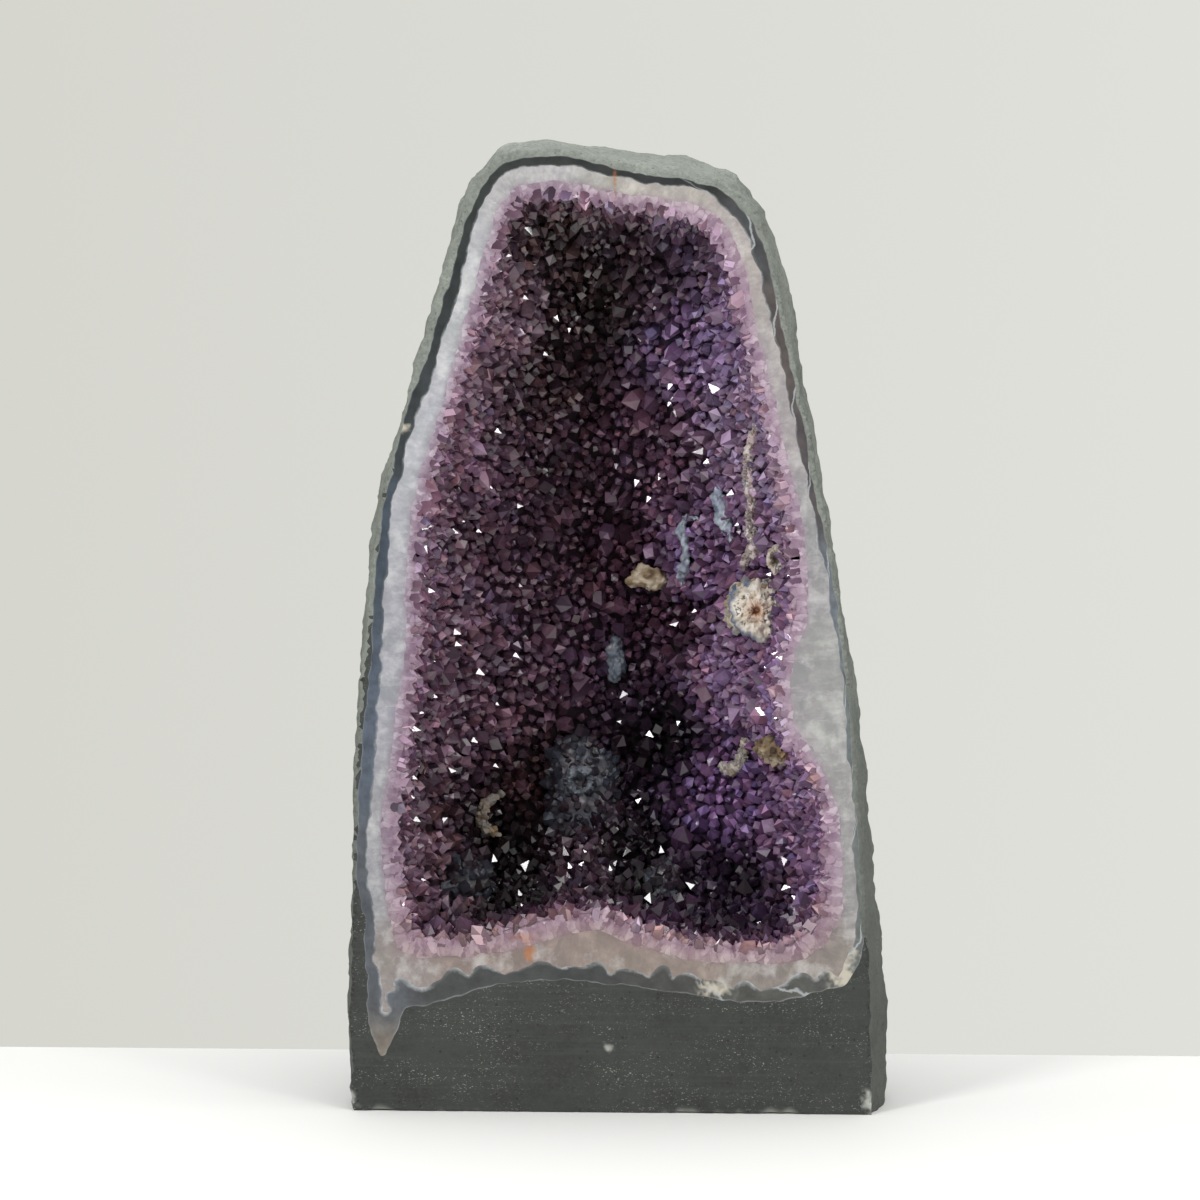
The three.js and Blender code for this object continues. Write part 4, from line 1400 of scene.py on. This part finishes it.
def crystal_mesh(name, points, normals, radii, tints, seed, glinting=0):
    """Six-sided points, each with a low prism, uneven shoulders and a tip that is off its middle."""
    random = np.random.default_rng(seed)
    count = len(points)
    axis = unit(normals + random.normal(0, 0.30, (count, 3)))
    side = unit(np.cross(axis, random.normal(0, 1, (count, 3))))
    wobble = random.uniform(0.82, 1.14, (count, 6))
    uneven = random.uniform(0.1, 0.34, (count, 1))
    off = random.uniform(-0.26, 0.26, (count, 2))
    steep = random.uniform(0.75, 1.25, count)
    if glinting:
        height = points[:, 2]
        odds = np.clip(1.15 - height / FRAME_HIGH.z, 0.15, 0.8)
        odds = odds * np.clip((height - 85 * MM) / (50 * MM), 0.2, 1)
        odds *= np.clip(1.35 - radii / (3 * MM), 0.05, 1)
        chosen = random.choice(count, glinting, replace=False, p=odds / odds.sum())
        slope = math.atan2(1.0, math.cos(math.pi / 6))
        axis[chosen], side[chosen] = turned_to_lamps(points, normals, chosen, slope, random)
        wobble[chosen], uneven[chosen], off[chosen], steep[chosen] = 1, 0, 0, 1
    other = np.cross(axis, side)
    angles = np.arange(6) * math.pi / 3
    sideways = side[:, None] * (np.cos(angles) * wobble)[:, :, None]
    ring = sideways + other[:, None] * (np.sin(angles) * wobble)[:, :, None]
    r = radii[:, None, None]
    shoulder = random.uniform(0.05, 0.55, (count, 1)) + np.cos(3 * angles)[None, :] * uneven
    foot = points[:, None] + ring * r * 1.02 - axis[:, None] * r * 1.3
    neck = points[:, None] + ring * r + axis[:, None] * r * shoulder[:, :, None]
    rise = steep + shoulder.mean(1)
    tip = points + radii[:, None] * (side * off[:, :1] + other * off[:, 1:] + axis * rise[:, None])
    verts = np.concatenate([foot, neck, tip[:, None]], axis=1)
    verts[:, :, 1] = np.maximum(verts[:, :, 1], FRONT + 0.15 * MM)
    k = np.arange(6)
    n = (k + 1) % 6
    sides = np.column_stack([k, n, 6 + n, 6 + k])
    tops = np.column_stack([6 + k, 6 + n, np.full(6, POINT_VERTS - 1)])
    starts = range(0, POINT_VERTS * count, POINT_VERTS)
    faces = [f + start for start in starts for f in sides] + [f + start for start in starts for f in tops]
    mesh = mesh_of(name, verts.reshape(-1, 3), faces)
    shade = np.exp(random.normal(0, 0.24, count)).clip(0.5, 1.8)
    warm = random.normal(0, 0.06, count)
    tint = tints * shade[:, None] * np.column_stack([1 + warm, np.ones(count), 1 - warm])
    tint *= np.minimum(1, PALEST_POINT / tint.max(1))[:, None]
    give_colour(mesh, "Tint", np.repeat(tint, POINT_VERTS, axis=0))
    give_value(mesh, "Tip", np.tile(np.array([0.0] * 6 + [0.35] * 6 + [1.0]), count))
    # A random value for each facet, which the amethyst's look turns into painted light and shade, and into
    # its roughness.
    give_value(mesh, "Facet light", random.random(len(mesh.polygons)), "FACE")
    return mesh


# A few points that are much bigger and paler than the rest: x, z, radius, in millimetres.
GREAT_POINTS = ((20.3, 318, 5.2), (-7, 250, 4.4), (-28, 214, 4.6), (24, 296, 4.0), (-2, 215, 4.2))


def darkness(tints):
    """How near each tint is to black, from 0 to 1."""
    return np.clip(1 - tints.sum(1) / 0.05, 0, 1)


def build_crystals():
    s = bpy.context.scene.geode_sizes
    c = bpy.context.scene.geode_colours

    def spacing_at(points, random):
        back = np.clip((points[:, 1] - FRONT) / (14 * MM), 0, 1)
        size = s.rim_spacing * (1 - back) + s.crystal_spacing * back
        return size * np.exp(random.normal(0, 0.26, len(points))).clip(0.6, 1.9)

    points, normals, spacing = scattered(spacing_at, s.crystal_tries, 12)
    needed = 1.3 * MM * np.sqrt(np.random.default_rng(9).random(len(points)))
    clear = growth_clearance(points) > needed
    points, normals, spacing = points[clear], normals[clear], spacing[clear]
    tints = amethyst_tints_and_shade(points)
    # Fewer points stand where the tints are painted near black, so that the darkened bed shows there as
    # painted shade.
    stays = np.random.default_rng(6).random(len(points)) > darkness(tints) * 0.25
    points, normals, spacing, tints = points[stays], normals[stays], spacing[stays], tints[stays]
    patchy = np.exp(0.55 * rough(points, 60, 2, 17) + 0.35 * rough(points, 170, 2, 19))
    tints = tints * 1.2 * patchy[:, None]
    radii = spacing * (0.66 + 0.10 * darkness(tints))
    for x, z, radius in GREAT_POINTS:
        n = np.argmin((points[:, 0] - x * MM) ** 2 + (points[:, 2] - z * MM) ** 2)
        radii[n] = radius * MM
        tints[n] = tints[n] * 1.4 + np.array(c.lilac) * 0.12
    mesh = crystal_mesh("amethyst_points", points, normals, radii, tints, 30, s.glinting)
    return piece("amethyst_points", mesh, [crystal_look()], [], "amethyst")


# ---- The growths --------------------------------------------------------------------------------


def crust_look(name, roughness, bump, scale, clouding=0.4):
    """A growth's look: its own tints, clouded, with grain as fine as `scale` waves to the metre."""

    def base(tree):
        tint = colour_of(tree, "Tint")
        cloud = grain(tree, scale)
        dim = multiplied(tree, tint, (0.45, 0.42, 0.40, 1))
        return mix(tree, times(tree, cloud, clouding), tint, dim)

    return look(name, base, roughness, grain_height(scale, scale * 3), bump=bump, distance=0.8 * MM)


def calcite_look():
    return crust_look("Calcite", 0.55, 0.7, 420.0, 0.2)


def chalcedony_look():
    return crust_look("Chalcedony", 0.30, 0.4, 260.0)


def grown_mesh(node, divisions, waves, seed):
    """A CAD growth finely divided, smoothed, and roughened by waves of noise."""
    bm = joined(node)
    divide(bm, divisions)
    every_way = {"use_axis_x": True, "use_axis_y": True, "use_axis_z": True}
    for _ in range(3):
        bmesh.ops.smooth_vert(bm, verts=bm.verts, factor=0.5, **every_way)
    bm.normal_update()
    points = np.array([v.co for v in bm.verts])
    normals = np.array([v.normal for v in bm.verts])
    high = sum(rough(points, scale, 3, seed + i) * most for i, (scale, most) in enumerate(waves))
    points += normals * high[:, None]
    move_all(bm, points)
    bmesh.ops.triangulate(bm, faces=bm.faces)
    mesh = bpy.data.meshes.new(node + "_crust")
    bm.to_mesh(mesh)
    bm.free()
    all_smooth(mesh)
    return mesh, points


def patchwork(points, tints, scale, seed):
    """Each point's colour, from a few tints that follow one another through noise."""
    place = np.clip(rough(points, scale, 3, seed) * 0.9 + 0.5, 0, 1) * (len(tints) - 1)
    return np.stack([np.interp(place, range(len(tints)), [t[k] for t in tints]) for k in range(3)], axis=1)


def over_node(node, spacing, seed):
    """Places scattered over a CAD growth, with their normals."""
    bm = joined(node)
    bmesh.ops.triangulate(bm, faces=bm.faces)
    corners = np.array([[v.co for v in f.verts] for f in bm.faces])
    out = np.array([f.normal for f in bm.faces])
    areas = np.array([f.calc_area() for f in bm.faces])
    bm.free()
    random = np.random.default_rng(seed)
    tries = int(min(8000, 6 * areas.sum() / spacing**2)) + 60
    picks = random.choice(len(areas), tries, p=areas / areas.sum())
    u, w = random.random((2, tries, 1))
    over = u + w > 1
    u, w = np.where(over, 1 - u, u), np.where(over, 1 - w, w)
    a, b, c = (corners[picks, k] for k in range(3))
    sizes = spacing * np.exp(random.normal(0, 0.3, tries)).clip(0.6, 1.8)
    return thinned(a + (b - a) * u + (c - a) * w, out[picks], sizes)


# Waves of roughness over a growth: how many to the metre, height.
RUGGED = ((140, 2.2 * MM), (420, 1.5 * MM), (1200, 0.6 * MM))


LUMPY = ((170, 1.3 * MM), (600, 0.6 * MM))


def build_growth(node, made_look, slot, tints, druse, waves=LUMPY, seed=0):
    """A growth's crust, with small crystal points over it: `druse` is their spacing."""
    mesh, points = grown_mesh(node, 2, waves, seed)
    give_colour(mesh, "Tint", patchwork(points, tints, 130, seed))
    piece(node + "_crust", mesh, [made_look], [node], slot)
    if not druse:
        return
    places, normals, sizes = over_node(node, druse, seed + 3)
    pale = patchwork(places, tints, 130, seed) * 1.08
    points_mesh = crystal_mesh(node + "_druse", places, normals, sizes * 0.6, pale, seed + 5)
    piece(node + "_druse", points_mesh, [made_look], [], slot)


BLOOM_RINGS = 34
BLOOM_SPOKES = 120


def bloom(name, centre, width, tall, height, profile, tint_at, seed):
    """A round growth that faces the front, ruffled like petals. `profile` gives its height and `tint_at`
    its colours, from how far out each point is and its angle."""
    rings, spokes = BLOOM_RINGS, BLOOM_SPOKES
    out = np.repeat(np.linspace(0.01, 1, rings), spokes)
    angle = np.tile(np.arange(spokes) * 2 * math.pi / spokes, rings)
    around = np.column_stack([np.cos(angle), np.sin(angle), out * 0.6])
    edge = 1 + 0.22 * rough(around, 2.4, 3, seed) + 0.06 * rough(around, 9, 2, seed + 4)
    x = centre[0] + np.cos(angle) * out * edge * width
    z = centre[2] + np.sin(angle) * out * edge * tall
    flat = np.column_stack([x, np.zeros_like(x), z])
    ruffle = 0.86 + 0.30 * rough(around, 4.5, 3, seed + 1) + 0.36 * rough(flat, 380, 4, seed + 2)
    y = centre[1] - height * profile(out) * np.where(out < 0.3, 0.6 + 0.4 * ruffle, ruffle)
    closing = list(range(spokes))[::-1]
    mesh = mesh_of(name, np.column_stack([x, y, z]), [*rings_of_faces(rings, spokes), closing])
    give_colour(mesh, "Tint", tint_at(out, angle, flat))
    all_smooth(mesh)
    return mesh


def eased(values, low, high):
    """Values taken from one range to 0 to 1, as a column."""
    return np.clip((values - low) / (high - low), 0, 1)[:, None]


def layered(first, *more):
    """Tints laid one over another: each of `more` is (a share from 0 to 1, a tint)."""
    made = first
    for share, tint in more:
        made = made * (1 - share) + np.array(tint) * share
    return made


def build_rosette():
    c = bpy.context.scene.geode_colours
    low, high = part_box("rosette")
    middle = ((low.x + high.x) / 2, low.y + 3.2 * MM, low.z + (high.z - low.z) * 0.45)

    def profile(out):
        return np.sqrt(np.clip(1 - out**2.2, 0, 1)) - 0.75 * np.exp(-((out / 0.13) ** 2))

    def tint_at(out, angle, flat):
        pale = ((0.88, 0.82, 0.74), (0.80, 0.70, 0.58), (0.94, 0.90, 0.84))
        mottled = patchwork(flat, pale, 300, 5)
        sides = np.abs(np.cos(angle)) > 0.35
        dots = ((rough(flat, 700, 2, 8) > 0.36) & sides & (out > 0.42) & (out < 0.82))[:, None] * 0.9
        lower_left = eased(-np.cos(angle) * 0.8 - np.sin(angle) * 0.5, 0.1, 0.6)
        fringe = eased(out, 0.80, 0.97) * lower_left
        peach = eased(-out, -0.55, -0.2) * 0.75
        rust = eased(-out, -0.2, -0.1)
        return layered(mottled, (peach, c.peach), (rust, c.rust), (dots, c.speck), (fringe, c.slate))

    mesh = bloom("rosette_bloom", middle, 11.5 * MM, 12.5 * MM, 7.5 * MM, profile, tint_at, 2)
    piece("rosette_bloom", mesh, [crust_look("Pale calcite", 0.5, 0.5, 420.0, 0.12)], [], "calcite")
    edge = (c.slate, c.cream, c.cream, c.ice)
    build_growth("rosette", calcite_look(), "calcite", edge, 2.2 * MM, seed=40)


def ring_tint(rim, hollow):
    """Tints for a ring growth: one on its rim and a dark one in its hollow, which is painted shade there."""

    def tint_at(out, angle, flat):
        return layered(patchwork(flat, rim, 300, 6), (eased(-out, -0.5, -0.3), hollow))
    # Painted shade: the hollow's dark tint fills the middle of the ring.

    return tint_at


def ring_profile(out):
    """A ring growth's height: a rim with a hollow inside it."""
    return np.exp(-(((out - 0.68) / 0.25) ** 2)) * 0.9 - 0.25 * np.exp(-((out / 0.3) ** 2))


def build_ring(name, node, centre, width, tall, height, made_look, slot, rim, hollow, seed):
    mesh = bloom(name, centre, width, tall, height, ring_profile, ring_tint(rim, hollow), seed)
    piece(name, mesh, [made_look], [node] if node else [], slot)


def build_calcite():
    c = bpy.context.scene.geode_colours
    pink = (0.72, 0.56, 0.56)
    cream = (c.cream, (0.72, 0.67, 0.62), (0.50, 0.40, 0.30))
    build_rosette()
    low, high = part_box("rosette_ring")
    centre = ((low.x + high.x) / 2, (low.y + high.y) / 2 + 1 * MM, (low.z + high.z) / 2)
    # The dark tint given for the ring's hollow is painted shade.
    build_ring(
        "rosette_ring_crust", "rosette_ring", centre, 4.4 * MM, 6.4 * MM, 3.2 * MM,
        calcite_look(), "calcite", cream, (0.09, 0.08, 0.045), 21,
    )
    made_look = calcite_look()
    for node, tints, druse, more, seed in (
        ("vein_ridge", (pink, (0.80, 0.72, 0.68), pink, (0.86, 0.80, 0.78)), 1.4, {"waves": RUGGED}, 50),
        ("cream_finger", cream, 1.8, {}, 55),
        ("cream_block", (c.cream, c.tan, (0.20, 0.14, 0.09)), 2.4, {}, 60),
        ("pale_shell", (c.tan, (0.34, 0.31, 0.28), c.brown), 1.8, {}, 65),
    ):
        build_growth(node, made_look, "calcite", tints, druse * MM, seed=seed, **more)
    tan = (c.brown, c.tan, c.cream, c.tan)
    build_growth("tan_knob", made_look, "tan_calcite", tan, 0, RUGGED, 70)


def build_chalcedony():
    c = bpy.context.scene.geode_colours
    shine = chalcedony_look()
    dark = (c.murk, (0.040, 0.044, 0.058), (0.020, 0.014, 0.020), (0.030, 0.020, 0.030))
    for node, tints, seed in (
        ("pale_blade", (c.slate, c.ice, (0.30, 0.34, 0.46), c.ice), 75),
        ("blue_ribbon", (c.slate, c.ice, (0.12, 0.13, 0.20), c.ice), 80),
        ("grey_stub", (c.murk, (0.12, 0.15, 0.19), (0.17, 0.17, 0.19)), 85),
    ):
        build_growth(node, shine, "chalcedony", tints, 0, RUGGED, seed)
    for node, druse, seed in (
        ("ring_cluster", 3.4, 90),
        ("grey_cluster_left", 3.6, 95),
        ("grey_cluster_right", 3.4, 100),
    ):
        build_growth(node, shine, "chalcedony", dark, druse * MM, seed=seed)
    low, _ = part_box("ring_cluster")
    centre = (-19.7 * MM, low.y + 3.5 * MM, 136.3 * MM)
    # The near-black tint given for the ring's hollow is painted shade.
    build_ring(
        "cluster_ring", None, centre, 7.6 * MM, 7.2 * MM, 3.4 * MM,
        shine, "chalcedony", ((0.08, 0.09, 0.10), (0.17, 0.19, 0.22), c.murk), (0.003, 0.003, 0.003), 26,
    )


# ---- Floor, light and camera --------------------------------------------------------------------


def plain_look(name, value, roughness):
    def base(tree):
        cloud = grain(tree, 6.0)
        return mix(tree, times(tree, cloud, 0.02), rgba(value), (0.6, 0.6, 0.6, 1))

    return look(name, base, roughness)


def aimed(name, data, place, aim):
    """A light or camera at one place and turned to another."""
    made = bpy.data.objects.new(name, data)
    made.location = place
    made.rotation_euler = (Vector(aim) - Vector(place)).to_track_quat("-Z", "Y").to_euler()
    bpy.context.scene.collection.objects.link(made)
    return made


def softbox(name, place, aim, size, power):
    data = bpy.data.lights.new(name, "AREA")
    data.shape = "RECTANGLE"
    data.size, data.size_y = size
    data.energy = power
    return aimed(name, data, place, aim)


KEY_LAMP = (-0.85, -1.44, 1.25)
SIDE_LAMP = (0.95, -1.30, 0.80)
TOP_LAMP = (0.1, FRONT + 0.1, 2.0)
CAVITY = (0, FRONT, 0.2)
# Each lamp's name, place, aim, size in metres, and power in watts.
LAMPS = (
    ("key light", KEY_LAMP, CAVITY, (0.40, 0.34), 17),
    ("side light", SIDE_LAMP, CAVITY, (0.30, 0.30), 6.5),
    ("top light", TOP_LAMP, (0, FRONT, 0), (2.4, 1.6), 40),
)
LENS = 125.6  # millimetres, as is the sensor
SENSOR = 36
VIEW_TARGET = (-0.0064, -0.084, 0.222)
VIEW_DISTANCE = 1.8
VIEW_ROUND = math.radians(3)
VIEW_ABOVE = 0.078
BACKDROP = FRONT + 0.175  # where the floor ends


def viewpoint():
    """Where the camera stands: level with the middle of the stone and a little to its right."""
    sideways = math.sin(VIEW_ROUND) * VIEW_DISTANCE
    forwards = -math.cos(VIEW_ROUND) * VIEW_DISTANCE
    return Vector(VIEW_TARGET) + Vector((sideways, forwards, VIEW_ABOVE))


SOFT_LIGHT = 0.24


def studio_world():
    """Even soft light from all round, with a pale backdrop behind it that is painted darker towards -X and
    paler towards +X, as light falling on it.
    """
    world = bpy.data.worlds.new("Studio")
    world.use_nodes = True
    tree = world.node_tree
    tree.nodes.clear()
    direction = add(tree, "ShaderNodeTexCoord").outputs["Generated"]
    # Painted light: the backdrop that the camera sees is darker towards -X and paler towards +X.
    side = between(tree, one_axis(tree, direction, "X"), -0.25, 0.25)
    shade = mix(tree, side, (0.655, 0.655, 0.605, 1), (0.785, 0.790, 0.755, 1))
    painted_light_backdrop = add(tree, "ShaderNodeBackground", {"Color": shade, "Strength": 1.0})
    light = add(tree, "ShaderNodeBackground", {"Color": (1, 1, 0.985, 1), "Strength": SOFT_LIGHT})
    ray = add(tree, "ShaderNodeLightPath").outputs["Is Camera Ray"]
    both = tree.nodes.new("ShaderNodeMixShader")
    tree.links.new(ray, both.inputs[0])
    tree.links.new(light.outputs[0], both.inputs[1])
    tree.links.new(painted_light_backdrop.outputs[0], both.inputs[2])
    end = tree.nodes.new("ShaderNodeOutputWorld")
    tree.links.new(both.outputs[0], end.inputs["Surface"])
    return world


def build_stage():
    scene = bpy.context.scene
    corners = [(-3, -3, 0), (3, -3, 0), (3, BACKDROP, 0), (-3, BACKDROP, 0)]
    floor = mesh_of("floor", corners, [(0, 1, 2, 3)])
    ground = bpy.data.objects.new("floor", floor)
    scene.collection.objects.link(ground)
    floor.materials.append(plain_look("Pale floor", (0.86, 0.86, 0.84), 0.6))
    scene.world = studio_world()
    for name, place, aim, size, power in LAMPS:
        softbox(name, place, aim, size, power)
    camera = bpy.data.cameras.new("camera")
    camera.lens = LENS
    camera.sensor_width = SENSOR
    scene.camera = aimed("camera", camera, viewpoint(), VIEW_TARGET)
    scene.view_settings.view_transform = "Standard"


# ---- The add-on ---------------------------------------------------------------------------------


class GeodeHostRock(bpy.types.Operator):
    """Build the host rock: its rough skin, sawn front and flat base"""

    bl_idname = "geode.host_rock"
    bl_label = "Host rock"

    def execute(self, context):
        build_rock()
        return {"FINISHED"}


class GeodeAgate(bpy.types.Operator):
    """Build the agate layer inside the rock"""

    bl_idname = "geode.agate"
    bl_label = "Agate layer"

    def execute(self, context):
        build_agate()
        return {"FINISHED"}


class GeodeQuartz(bpy.types.Operator):
    """Build the white quartz layer inside the agate"""

    bl_idname = "geode.quartz"
    bl_label = "Quartz layer"

    def execute(self, context):
        build_quartz()
        return {"FINISHED"}


class GeodeAmethyst(bpy.types.Operator):
    """Build the amethyst: its cut rim, its bed and its crystal points"""

    bl_idname = "geode.amethyst"
    bl_label = "Amethyst"

    def execute(self, context):
        build_rim()
        build_bed()
        build_crystals()
        return {"FINISHED"}


class GeodeCalcite(bpy.types.Operator):
    """Build the cream and tan calcite growths"""

    bl_idname = "geode.calcite"
    bl_label = "Calcite growths"

    def execute(self, context):
        build_calcite()
        return {"FINISHED"}


class GeodeChalcedony(bpy.types.Operator):
    """Build the blue-grey chalcedony growths"""

    bl_idname = "geode.chalcedony"
    bl_label = "Chalcedony growths"

    def execute(self, context):
        build_chalcedony()
        return {"FINISHED"}


class GeodeStage(bpy.types.Operator):
    """Build the floor, the lights and the camera"""

    bl_idname = "geode.stage"
    bl_label = "Floor, light and camera"

    def execute(self, context):
        build_stage()
        return {"FINISHED"}


OPERATORS = (GeodeHostRock, GeodeAgate, GeodeQuartz, GeodeAmethyst, GeodeCalcite, GeodeChalcedony, GeodeStage)


class GeodePanel(bpy.types.Panel):
    """Lists the pieces of the geode, and the sizes and colours they are built with"""

    bl_idname = "VIEW3D_PT_geode"
    bl_label = "Amethyst geode"
    bl_space_type = "VIEW_3D"
    bl_region_type = "UI"
    bl_category = "Geode"

    def draw(self, context):
        for operator in OPERATORS:
            self.layout.operator(operator.bl_idname)
        for group_name in ("geode_sizes", "geode_colours"):
            settings = getattr(context.scene, group_name)
            for name in settings.__annotations__:
                self.layout.prop(settings, name)


CLASSES = (GeodeSizes, GeodeColours, *OPERATORS, GeodePanel)


def register():
    for cls in CLASSES:
        bpy.utils.register_class(cls)
    bpy.types.Scene.geode_sizes = PointerProperty(type=GeodeSizes)
    bpy.types.Scene.geode_colours = PointerProperty(type=GeodeColours)


def unregister():
    del bpy.types.Scene.geode_colours
    del bpy.types.Scene.geode_sizes
    for cls in reversed(CLASSES):
        bpy.utils.unregister_class(cls)


def main():
    register()
    for operator in OPERATORS:
        call = getattr(bpy.ops.geode, operator.bl_idname.split(".")[1])
        call()


if __name__ == "__main__":
    main()
